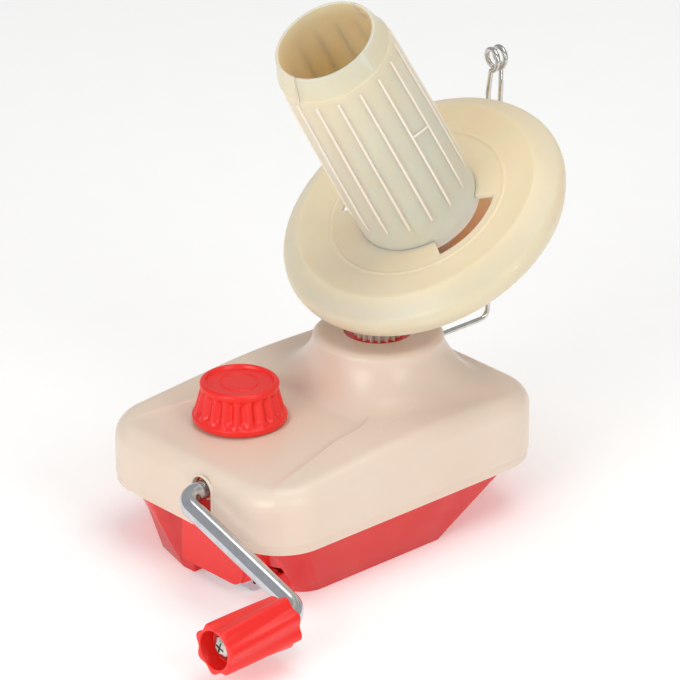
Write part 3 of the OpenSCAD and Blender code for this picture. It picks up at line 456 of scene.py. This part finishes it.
# Sweeps a round rod along the piece's own line and leaves ringSpot and rodLength on the skin
def sweptRodTree():
    tree, given = newTree("sweptRod", {"Radius": "Float", "Sides": "Int", "Finish": "Material"})
    line = addNode(tree, "GeometryNodeMeshToCurve", {"Mesh": given["Geometry"]}).outputs[0]
    along = addNode(tree, "GeometryNodeSplineParameter").outputs["Length"]
    marked = addNode(tree, "GeometryNodeStoreNamedAttribute",
                     {"Geometry": line, "Name": "rodLength", "Value": along}, domain="POINT")
    round_ = addNode(tree, "GeometryNodeCurvePrimitiveCircle",
                     {"Resolution": given["Sides"], "Radius": given["Radius"]}).outputs["Curve"]
    share = addNode(tree, "GeometryNodeSplineParameter").outputs["Factor"]
    turn = maths(tree, "MULTIPLY", share, 2 * math.pi)
    spot = addNode(tree, "ShaderNodeCombineXYZ",
                   {"X": maths(tree, "COSINE", turn), "Y": maths(tree, "SINE", turn)}).outputs[0]
    ring = addNode(tree, "GeometryNodeStoreNamedAttribute", {"Geometry": round_, "Name": "ringSpot"},
                   data_type="FLOAT_VECTOR", domain="POINT")
    tree.links.new(spot, [s for s in ring.inputs if s.name == "Value" and s.enabled][0])
    skin = addNode(tree, "GeometryNodeCurveToMesh",
                   {"Curve": marked.outputs[0], "Profile Curve": ring.outputs[0], "Fill Caps": True})
    real = addNode(tree, "GeometryNodeRealizeInstances", {"Geometry": skin.outputs[0]})
    painted = addNode(tree, "GeometryNodeSetMaterial",
                      {"Geometry": real.outputs[0], "Material": given["Finish"]})
    addNode(tree, "NodeGroupOutput", {"Geometry": painted.outputs[0]})
    return tree


# Sets Count copies of the piece round its upright axis
def ringOfCopiesTree():
    tree, given = newTree("ringOfCopies", {"Count": "Int", "Start": "Float", "Finish": "Material"})
    spots = addNode(tree, "GeometryNodeMeshLine", {"Count": given["Count"], "Offset": (0, 0, 0)}).outputs[0]
    order = addNode(tree, "GeometryNodeInputIndex").outputs[0]
    step = maths(tree, "DIVIDE", 2 * math.pi, given["Count"])
    angle = maths(tree, "MULTIPLY_ADD", order, step, given["Start"])
    turn = addNode(tree, "ShaderNodeCombineXYZ", {"Z": angle}).outputs[0]
    copies = addNode(tree, "GeometryNodeInstanceOnPoints",
                     {"Points": spots, "Instance": given["Geometry"], "Rotation": turn})
    real = addNode(tree, "GeometryNodeRealizeInstances", {"Geometry": copies.outputs[0]})
    painted = addNode(tree, "GeometryNodeSetMaterial",
                      {"Geometry": real.outputs[0], "Material": given["Finish"]})
    addNode(tree, "NodeGroupOutput", {"Geometry": painted.outputs[0]})
    return tree


flutedSide, sweptRod, ringOfCopies = flutedSideTree(), sweptRodTree(), ringOfCopiesTree()


def sweep(name, path, radius, sides, finish):
    points = [tuple(p) for p in path]
    piece = newPiece(name, points, [], finish)
    piece.data.edges.add(len(points) - 1)
    piece.data.edges.foreach_set("vertices", [v for i in range(len(points) - 1) for v in (i, i + 1)])
    piece.data.update()
    applyTree(piece, sweptRod, {"Radius": radius * mm, "Sides": sides, "Finish": finish})
    return piece


def arc(centre, radius, start, end, steps=15):
    angles = [math.radians(start + (end - start) * k / steps) for k in range(steps + 1)]
    return [(centre[0] + radius * math.cos(a), centre[1] + radius * math.sin(a)) for a in angles]


# Top cover: one skin from the neck's hole over the hump and the deck, down the sides and back inside
cover = {
    "width": 113, "length": 153, "corner": 23, "edge": 8, "wall": 2.5, "lip": 23, "band": 27.2, "inset": 0.5,
    "crest": 55.6, "crestY": 8, "frontFall": 4.2, "rearFall": 1.8,
    "neckY": 30.5, "neckTop": 75, "neckR": 27, "hole": 14.2, "humpTop": 74, "humpFoot": 51,
    "humpGrow": (17, 8.5), "humpShift": 2, "humpBlend": 5,
    "panelZ": 51, "panelY": -35, "panelSlope": 2.2, "panelHalf": 33, "panelFlare": (-21, 13 / 53),
    "panelRear": 1.0, "panelCorner": (28, 33, -7), "panelWall": 7.5, "panelBlend": 4,
    "knob": (-12, -35), "seatR": 20.6, "slot": (12, 41, 5.8), "guideHole": (-24, 46, 3),
}
cover["inset8"] = (cover["width"] / 2 - cover["edge"], cover["length"] / 2 - cover["edge"])


def deckHeight(x, y, grow=0.0):
    c = cover
    front = c["crest"] + (y - c["crestY"]) * math.tan(math.radians(c["frontFall"]))
    rear = c["crest"] - (y - c["crestY"]) * math.tan(math.radians(c["rearFall"]))
    shoulders = -smoothMax(-front, -rear, 2.0)
    flareY, flare = c["panelFlare"]
    halfWidth = c["panelHalf"] + np.maximum(flareY - y, 0) * flare
    inX, outX, cornerY = c["panelCorner"]
    across, back = c["panelRear"] - cornerY, outX - inX
    long = math.hypot(across, back)
    cut = ((np.abs(x) - outX) * across + (y - cornerY) * back) / long
    inside = smoothMax(smoothMax(np.abs(x) - halfWidth, y - c["panelRear"], c["panelBlend"]), cut,
                       c["panelBlend"]) - grow
    panel = c["panelZ"] + (y - c["panelY"]) * math.tan(math.radians(c["panelSlope"]))
    seat = np.hypot(x - c["knob"][0], y - c["knob"][1]) - c["seatR"] - grow
    panel = panel + (np.minimum(panel, c["panelZ"]) - panel) * easeStep(0.3 - seat / 1.2)
    into = np.clip(-inside / c["panelWall"], 0, 1)
    sunk = (1 - (1 - into) ** 3) * easeStep(into / 0.1)  # steep below a crisp rim, easing out below
    return shoulders + (np.minimum(panel, shoulders) - shoulders) * sunk


def humpRing(z, angles, inset=0.0):
    c = cover
    f = ((c["humpTop"] - z) / (c["humpTop"] - c["humpFoot"])) ** 2
    power = 2 + 2 * f
    halfX, halfY = c["neckR"] + c["humpGrow"][0] * f - inset, c["neckR"] + c["humpGrow"][1] * f - inset
    q = (np.abs(np.cos(angles)) / halfX) ** power + (np.abs(np.sin(angles)) / halfY) ** power
    r = q ** (-1 / power)
    return r * np.cos(angles), c["neckY"] + c["humpShift"] * f + r * np.sin(angles)


def humpHeight(x, y):
    # halves the height range until the hump's outline at that height passes through the point
    c = cover
    low, high = np.full(x.shape, 30.0), np.full(x.shape, float(c["humpTop"]))
    for _ in range(28):
        z = (low + high) / 2
        f = ((c["humpTop"] - z) / (c["humpTop"] - c["humpFoot"])) ** 2
        power = 2 + 2 * f
        halfX, halfY = c["neckR"] + c["humpGrow"][0] * f, c["neckR"] + c["humpGrow"][1] * f
        middle = c["neckY"] + c["humpShift"] * f
        q = (np.abs(x) / halfX) ** power + (np.abs(y - middle) / halfY) ** power
        low, high = np.where(q <= 1, z, low), np.where(q <= 1, high, z)
    return (low + high) / 2


def outlineAt(angles):
    # where a ray from the neck's middle meets the flat top's edge, and the outward direction there
    c = cover
    halfX, halfY = c["inset8"]
    r = c["corner"] - c["edge"]
    dx, dy = np.cos(angles), np.sin(angles)
    sideX = np.where(dx >= 0, 1, -1) * halfX
    sideY = np.where(dy >= 0, 1, -1) * halfY
    with np.errstate(divide="ignore", invalid="ignore"):
        toX = np.where(np.abs(dx) > 1e-9, sideX / dx, 1e9)
        toY = np.where(np.abs(dy) > 1e-9, (sideY - c["neckY"]) / dy, 1e9)
    t = np.minimum(toX, toY)
    middleX, middleY = np.sign(sideX) * (halfX - r), np.sign(sideY) * (halfY - r)
    ox, oy = -middleX, c["neckY"] - middleY
    b = ox * dx + oy * dy
    inner = np.maximum(b * b - (ox * ox + oy * oy - r * r), 0)
    tr = -b + np.sqrt(inner)
    cx, cy = tr * dx, c["neckY"] + tr * dy
    round_ = (np.abs(cx) > np.abs(middleX)) & (cy * np.sign(sideY) > np.abs(middleY)) & (inner > 0)
    t = np.where(round_, tr, t)
    x, y = t * dx, c["neckY"] + t * dy
    nx = np.where(round_, (x - middleX) / r, np.where(toX < toY, np.sign(sideX), 0))
    ny = np.where(round_, (y - middleY) / r, np.where(toX < toY, 0, np.sign(sideY)))
    return x, y, nx, ny


def buildCover():
    c = cover
    fine, coarse = np.arange(-140, -40, 0.35), np.arange(-40, 220, 1.0)
    angles = np.radians(np.concatenate([fine, coarse]))
    blend, wall = c["humpBlend"], c["wall"]

    def level(x, y, z):
        return np.stack([x, y, np.broadcast_to(z, x.shape)], axis=1)

    def neckRing(r, z):
        return level(r * np.cos(angles), c["neckY"] + r * np.sin(angles), z)

    rings = [neckRing(r, c["neckTop"] + z) for r, z in (
        (c["hole"], -0.35), (c["hole"] + 0.3, 0), (18, 0), (22, 0), (23, 0), (24.2, -0.1), (25.3, -0.4),
        (26.1, -0.95), (26.65, -1.55))]
    steep = 56.0
    for z in np.linspace(c["humpTop"] - 1, steep, 20):
        x, y = humpRing(z, angles)
        rings.append(level(x, y, smoothMax(np.full(x.shape, z), deckHeight(x, y), blend)))
    footX, footY = humpRing(steep, angles)
    edgeX, edgeY, nx, ny = outlineAt(angles)
    shares = np.linspace(0, 1, 86)[1:]
    for t in shares:
        x, y = footX + (edgeX - footX) * t, footY + (edgeY - footY) * t
        rings.append(level(x, y, smoothMax(humpHeight(x, y), deckHeight(x, y), blend)))
    rim = rings[-1][:, 2]
    for turn in np.radians(np.arange(9, 91, 9)):
        out = c["edge"] * math.sin(turn)
        rings.append(level(edgeX + nx * out, edgeY + ny * out, rim - c["edge"] * (1 - math.cos(turn))))

    def side(inset, z):
        out = c["edge"] - inset
        return level(edgeX + nx * out, edgeY + ny * out, z)

    for z in (38, c["band"] + 0.4, c["band"] + 0.15):
        rings.append(side(0, z))
    rings.append(side(0.12, c["band"]))
    for inset, z in ((c["inset"] - 0.1, c["band"] - 0.05), (c["inset"], c["band"] - 0.2),
                     (c["inset"], c["lip"] + 0.7), (c["inset"] + 0.2, c["lip"] + 0.2),
                     (c["inset"] + 0.7, c["lip"]),
                     (wall - 0.3, c["lip"]), (wall, c["lip"] + 0.3)):
        rings.append(side(inset, z))
    for inset, drop in ((wall, wall + 3.5), (wall + 1, wall + 1), (wall + 3.5, wall), (c["edge"], wall)):
        rings.append(side(inset, rim - drop))
    for t in shares[-4:0:-4]:
        x, y = footX + (edgeX - footX) * t, footY + (edgeY - footY) * t
        top = smoothMax(humpHeight(x, y), deckHeight(x, y, grow=4), 2)
        rings.append(level(x, y, np.minimum(top, deckHeight(x, y) + 20) - wall))
    for z in (steep, 60, 65, 70, 73):
        x, y = humpRing(z, angles, wall)
        rings.append(level(x, y, z - 1.2))
    rings.append(neckRing(c["neckR"] - wall - 0.5, c["neckTop"] - 1.5))
    rings.append(neckRing(c["hole"], c["neckTop"] - 1.5))
    points, faces = ringStack(rings, closed=True)
    piece = newPiece("coverShell", points, faces, creamAbs)
    tidyMesh(piece)
    x, z, r = c["slot"]
    front, rear = -c["length"] / 2, c["length"] / 2
    upright = Matrix.Rotation(math.radians(90), 3, "X")
    arch = [(x + r, 20), *arc((x, z), r, 0, 180, 24), (x - r, 20)]
    slotCut = prism(arch, -front - 6, -front + 2, upright)
    gx, gz, gr = c["guideHole"]
    guideCut = prism(arc((gx, gz), gr, 0, 345, 23), -rear - 2, -rear + 6, upright)
    kx, ky = c["knob"]
    screwCut = prism(arc((kx, ky), 4.4, 0, 345, 23), 40, 60)
    cutAway(piece, [slotCut, guideCut, screwCut])
    tidyMesh(piece, sharp=40)
    seatPiece(piece, "frame", "cream_plastic", "top_cover")


# Raised bead that stiffens the crank slot's edge
slotBead = {"grow": 0.45, "radius": 0.62, "foot": 23.9, "sink": 0.25}


def buildSlotRim():
    x, z, r = cover["slot"]
    r += slotBead["grow"]
    y = -cover["length"] / 2 + slotBead["sink"]
    outline = [(x + r, slotBead["foot"]), (x + r, z - 8), *arc((x, z), r, 0, 180, 24), (x - r, z - 8),
               (x - r, slotBead["foot"])]
    piece = sweep("slotRim", [(px, y, pz) for px, pz in outline], slotBead["radius"], 12, creamAbs)
    tidyMesh(piece)
    seatPiece(piece, "frame", "cream_plastic")


# Base tub: the CAD solid merged, its left cheek drawn in to the photographed line and the corner of the
# jaw's housing rounded, with the raised panel that stands on the housing's front
base = {"nose": -73.6, "panelX": -2.5, "cheekIn": 4.5, "cheekOut": 3.0, "rim": 24,
        "corner": (38.5, 5.0), "round": 8.0, "cutY": (-80, -57.6),
        "panelOut": 1.1, "panelLow": 4.4, "panelHigh": 23.2, "panelRight": 34.8, "panelRound": 7.0}


def buildBase():
    b = base
    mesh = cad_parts["base_tub"].data.copy()
    piece = bpy.data.objects.new("baseTub", mesh)
    mesh.name = "baseTub"
    scene.collection.objects.link(piece)
    tidyMesh(piece)
    for vertex in piece.data.vertices:
        x, y, z = (v / mm for v in vertex.co)
        if y > -57.2 or x > b["panelX"] or z > b["rim"] + 0.1:
            continue
        height = min(max(z / b["rim"], 0), 1)
        reach = min((b["panelX"] - x) / 19, 1)
        vertex.co.x += b["cheekIn"] * height * reach * mm
        vertex.co.y -= b["cheekOut"] * (1 - height) * reach * mm
    cx, cz = b["corner"]
    r = b["round"]
    middle = (cx - r - 0.5, cz + r + 0.5)
    outline = [(cx + 6, cz - 6), (cx + 6, middle[1]), *arc(middle, r, 0, -90, 12), (middle[0], cz - 6)]
    upright = Matrix.Rotation(math.radians(90), 3, "X")
    cutAway(piece, [prism(outline, -b["cutY"][1], -b["cutY"][0], upright)])
    tidyMesh(piece, sharp=48)
    seatPiece(piece, "frame", "red_plastic", "base_tub")
    left, right, low, high, pr = b["panelX"], b["panelRight"], b["panelLow"], b["panelHigh"], b["panelRound"]
    foot = arc((right - pr, low + pr), pr, -90, 0, 12)
    outline = [(left, high), (left, low + 0.8), (left + 0.8, low), *foot, (right, high)]
    panel = prism(outline, -b["nose"] - 0.4, -b["nose"] + b["panelOut"], upright)
    panel.name = panel.data.name = "housingPanel"
    panel.data.materials[0] = redStyrene
    tidyMesh(panel, sharp=28)
    seatPiece(panel, "frame", "red_plastic")


buildCover()
buildSlotRim()
buildBase()
print("cover and base made")

# Winding head: everything on the tilted axis is drawn in h above the dish's rim plane
head = {"lean": 31, "crossing": (0, 30.5, 161.4), "drop": 48}
headPlace = (Matrix.Translation([v * mm for v in head["crossing"]])
             @ Matrix.Rotation(math.radians(head["lean"]), 4, "X")
             @ Matrix.Translation((0, 0, -head["drop"] * mm)))

tube = {"foot": 6.2, "length": 105.5, "r": 25.75, "middle": 25.45, "collar": 96.5, "collarR": 24.05,
        "mouth": 21.25, "lip": 1.1, "skirt": 4.5, "wall": 2.0, "columns": 128, "slitW": 0.9, "slitL": 11,
        "slitTurn": 6.5, "ribs": 16, "ribW": 1.15, "ribOut": 0.6, "ribLow": 21, "ribHigh": 92,
        "crossH": 56, "crossTurn": 10, "crossFall": 1.8}


def tubeRadius(h):
    t = tube
    half = t["length"] / 2
    if h < half:
        return t["r"] + (t["middle"] - t["r"]) * (h - t["foot"]) / (half - t["foot"])
    return t["middle"] + (t["r"] - 1.2 - t["middle"]) * (h - half) / (t["collar"] - 0.6 - half)


def buildTube():
    t = tube
    w = t["wall"]
    profile = softCorners([
        (t["middle"], t["length"] / 2, 20), (t["r"] - 1.2, t["collar"] - 0.6, 0.4),
        (t["collarR"], t["collar"], 0.5), (t["mouth"] + 0.25, t["length"] - 0.4, 0.4),
        (t["mouth"] - 0.3, t["length"], 0.4), (t["mouth"] - t["lip"], t["length"] - 0.2, 0.3),
        (t["collarR"] - w, t["collar"] - 1, 2), (t["middle"] - w, t["length"] / 2, 10),
        (t["r"] - w, t["foot"] + 2.5, 1), (8, t["foot"] + 2.5), (8, t["foot"]), (t["r"] - w, t["foot"]),
        (t["r"] - w, t["foot"] - t["skirt"]), (t["r"], t["foot"] - t["skirt"])], steps=6)
    piece = lathe("yarnTube", profile, t["columns"], creamTube)
    tidyMesh(piece)
    cutters = []
    for start in (0, 180):
        turn = Matrix.Rotation(math.radians(start + t["slitTurn"]), 3, "Z")
        half = t["slitW"] / 2
        outline = [(-half, -t["mouth"] - 4), (half, -t["mouth"] - 4), (half, -t["mouth"] + 5),
                   (-half, -t["mouth"] + 5)]
        cutters.append(prism(outline, t["length"] - t["slitL"], t["length"] + 1, turn))
    cutAway(piece, cutters)
    tidyMesh(piece, headPlace, sharp=30)
    seatPiece(piece, "bobbin", "cream_plastic", "yarn_tube")


def ribPoints(stations, halfWide, out):
    # a low rounded bar: five points across at each station, sunk a little into the tube
    rings = []
    for h, height in stations:
        r = tubeRadius(h)
        rings.append([(r - 0.6, -halfWide, h), (r + height * 0.25, -halfWide, h),
                      (r + height * 0.85, -halfWide * 0.6, h), (r + height, 0, h),
                      (r + height * 0.85, halfWide * 0.6, h), (r + height * 0.25, halfWide, h),
                      (r - 0.6, halfWide, h)])
    return rings


def buildRibs():
    t = tube
    low, high, out = t["ribLow"], t["ribHigh"], t["ribOut"]
    stations = [(low - 6, -0.2), (low - 3, out * 0.35), (low, out * 0.8), (low + 4, out)]
    stations += [(low + 4 + (high - low - 5) * k / 6, out) for k in range(1, 7)]
    stations += [(high, out * 0.7), (high + 0.8, -0.2)]
    points, faces = ringStack(ribPoints(stations, t["ribW"] / 2, out))
    # the ribs take the paler rib finish, a painted highlight along their crests
    piece = newPiece("tubeRibs", points, faces, ribCreamPaintedHighlight)
    applyTree(piece, ringOfCopies, {"Count": t["ribs"], "Start": 0.0, "Finish": ribCreamPaintedHighlight})
    tidyMesh(piece, headPlace, sharp=50)
    seatPiece(piece, "bobbin", "cream_plastic")
    # one short rib crosses a panel, where the mould's gate stood
    turn = math.radians(t["crossTurn"])
    span = math.radians(360 / t["ribs"] / 2 - 0.8)
    r = tubeRadius(t["crossH"])
    across = [(r * math.cos(turn + span * k), r * math.sin(turn + span * k), t["crossH"] - t["crossFall"] * k)
              for k in np.linspace(-1, 1, 9)]
    gate = sweep("tubeCrossRib", across, 0.55, 12, ribCreamPaintedHighlight)
    tidyMesh(gate, headPlace, sharp=50)
    seatPiece(gate, "bobbin", "cream_plastic")


dish = {"floor": 6.2, "ring": 38.5, "rim": 62.5, "under": 2.0, "hub": 11, "hubTop": 48.0,
        "windowIn": 25.6, "windowOut": 34.55, "windowAngle": 61, "webs": 6}


def buildDish():
    d = dish
    r, u, f = d["rim"], d["under"], d["floor"]
    hubBottom = d["floor"] - 7.5
    profile = softCorners([
        (3.0, f), (d["ring"] - 1.2, f, 0.3), (d["ring"] - 0.5, f + 0.6, 0.3), (d["ring"] + 0.1, f + 0.6, 0.3),
        (d["ring"] + 0.9, f + 0.25, 0.5), (r - 10.2, 8.4, 0.9), (r - 1.2, 2.2, 1.6),
        (r, -0.8, 3), (r - 1.1, -4.6, 3), (r - 2.8, -7.8, 0.5), (r - 4.6, -7.5, 0.5),
        (r - 2.9, -3.2, 2), (r - 2.1, 0.3, 2), (r - 5.5, 3.6, 3), (r - 10.4, 5.9, 3), (r - 12.6, 6.1, 3),
        (d["ring"], f - u + 0.2, 4), (d["hub"], f - u, 1), (d["hub"], hubBottom, 0.6), (3.0, hubBottom)],
        steps=6)
    piece = lathe("flangeDish", profile, 240, creamTube)
    tidyMesh(piece)
    cutters = []
    for start in (0, 180):
        half = d["windowAngle"] / 2
        outline = arc((0, 0), d["windowOut"], start - half, start + half, 40)
        outline += arc((0, 0), d["windowIn"], start + half, start - half, 40)
        cutters.append(prism(outline, f - 5, f + 4))
    cutAway(piece, cutters)
    tidyMesh(piece, headPlace, sharp=30)
    seatPiece(piece, "bobbin", "cream_plastic", "flange_dish")


buildTube()
buildRibs()
buildDish()
print("winding head made")

# Clamp knob: a fluted skirt between a foot band and a raised rim, with a sunk, bare top
knob = {"place": (-12, -35, 51.6), "r": 19.6, "band": 2.6, "height": 17, "top": 16.1, "sunk": 1.4,
        "flutes": 20, "depth": 1.7, "ring": (7.5, 8.4), "columns": 240}


def buildKnob():
    k = knob
    r, top, h = k["r"], k["top"], k["height"]
    floor = h - k["sunk"]
    steps = 14
    skirt = [(r - 0.75 + (top - 0.15 - r + 0.75) * i / steps, k["band"] + (h - 3.3 - k["band"]) * i / steps)
             for i in range(steps + 1)]
    upper = softCorners([
        skirt[-1], (top + 0.05, h - 2.8, 0.3), (top + 0.35, h - 0.9, 0.9), (top - 0.9, h, 0.7),
        (top - 2.1, h - 0.1, 0.5), (top - 2.6, floor, 0.4), (k["ring"][1] + 0.2, floor, 0.2),
        (k["ring"][1] - 0.1, floor - 0.35, 0.15), (k["ring"][0] + 0.1, floor - 0.35, 0.15),
        (k["ring"][0] - 0.2, floor, 0.2), (0, floor)], closed=False)
    foot = softCorners([(4.2, 0), (r - 0.2, 0, 0.4), (r, k["band"] - 0.3, 0.7), skirt[0]], closed=False)
    profile = [(0.0, 6.0), (4.2, 6.0), *foot[:-1], *skirt, *upper[1:]]
    piece = lathe("clampKnob", profile, k["columns"], redGrip, closed=False)
    applyTree(piece, flutedSide, {
        "Count": float(k["flutes"]), "Depth": k["depth"] * mm, "Sharpness": 1.2, "Twist": 0.0,
        "Low": (k["band"] + 0.2) * mm, "High": (h - 3.0) * mm, "Fade": 2.2 * mm,
        "Core": (top - 1.5) * mm, "Finish": redGrip})
    tidyMesh(piece, Matrix.Translation([v * mm for v in k["place"]]), sharp=40)
    seatPiece(piece, "clamp", "red_grip_plastic", "clamp_knob")


# Crank: one bent steel rod, and a loose grip with soft twisted lobes
crank = {"place": (12, 0, 41), "down": 18, "r": 4, "arm": 76, "bendY": -87, "bend": 8, "inner": 47.4,
         "outer": -126.2, "sides": 40}
crankPlace = (Matrix.Translation([v * mm for v in crank["place"]])
              @ Matrix.Rotation(math.radians(crank["down"]), 4, "Y"))
grip = {"outer": -133.0, "length": 37, "r": 11, "bore": 4.05, "recess": 8, "recessDeep": 7, "lobes": 7,
        "lobeDeep": 1.75, "twist": 24, "columns": 168}


def buildCrank():
    c = crank
    b, y = c["bend"], c["bendY"]
    path = [(0, c["inner"], 0), (0, -20, 0), (0, y + b + 8, 0)]
    path += [(px, py, 0) for px, py in arc((b, y + b), b, 180, 270)]
    path += [(b + 14, y, 0), (c["arm"] / 2, y, 0), (c["arm"] - b - 14, y, 0)]
    path += [(px, py, 0) for px, py in arc((c["arm"] - b, y - b), b, 90, 0)]
    path += [(c["arm"], y - b - 12, 0), (c["arm"], c["outer"], 0)]
    piece = sweep("crankRod", path, c["r"] - 0.01, c["sides"], zincRod)
    tidyMesh(piece, crankPlace, sharp=40)
    seatPiece(piece, "crank", "zinc_steel", "crank_rod")


def buildGrip():
    g = grip
    rows = [(g["r"], g["length"] * i / 24) for i in range(1, 24)]
    foot = softCorners([(g["bore"], g["length"]), (g["r"], g["length"], 0.9), rows[-1]], closed=False)
    mouth = softCorners([rows[0], (g["r"], 0, 0.8), (g["recess"], 0, 0.5), (g["recess"], g["recessDeep"], 0.6),
                         (g["bore"], g["recessDeep"])], closed=False)
    profile = [*mouth[::-1][:-1], *rows, *foot[::-1][1:]]
    piece = lathe("handleGrip", profile, g["columns"], redGrip)
    applyTree(piece, flutedSide, {
        "Count": float(g["lobes"]), "Depth": g["lobeDeep"] * mm, "Sharpness": 1.0,
        "Twist": math.radians(g["twist"]) / (g["length"] * mm), "Low": -10 * mm, "High": 60 * mm,
        "Fade": 5 * mm, "Core": (g["recess"] + 0.7) * mm, "Finish": redGrip})
    place = crankPlace @ Matrix.Translation((crank["arm"] * mm, g["outer"] * mm, 0))
    tidyMesh(piece, place @ Matrix.Rotation(math.radians(-90), 4, "X"), sharp=40)
    seatPiece(piece, "grip", "red_grip_plastic", "handle_grip")


# Yarn guide: one wire that rises behind the dish, winds twice round the eye and comes down again
guide = {"x": -24, "y": 116, "z": 46, "inner": 66.5, "bend": 4, "eyeZ": 164, "eyeR": 4.4, "pitch": 4.4,
         "back": 3.2, "turns": 2, "wire": 1.1, "freeEnd": 76}


def buildGuide():
    g = guide
    x, y, z, b = g["x"], g["y"], g["z"], g["bend"]
    path = [(x, g["inner"], z), (x, y - b - 10, z)]
    path += [(x, py, pz) for py, pz in arc((y - b, z + b), b, -90, 0, 10)]
    first, last = y + g["back"] - g["pitch"], y + g["back"] + g["pitch"]
    path += [(x, y, z + 20), (x, first + 0.2, g["eyeZ"] - 30), (x, first, g["eyeZ"] - 14)]
    low, high = 18, 360 * g["turns"] - 18
    for k in range(73):
        a = low + (high - low) * k / 72
        path.append((x + g["eyeR"] * math.sin(math.radians(a)),
                     y + g["back"] + g["pitch"] * (a / 360 - g["turns"] / 2),
                     g["eyeZ"] - g["eyeR"] * math.cos(math.radians(a))))
    path += [(x, last - 1.5, g["eyeZ"] - 14), (x, y + 2 * g["wire"] + 0.6, g["freeEnd"])]
    piece = sweep("guideWire", path, g["wire"], 20, nickelWire)
    tidyMesh(piece, sharp=50)
    seatPiece(piece, "guide", "nickel_steel", "yarn_guide")


buildKnob()
buildCrank()
buildGrip()
buildGuide()
print("knob, crank, grip and guide made")
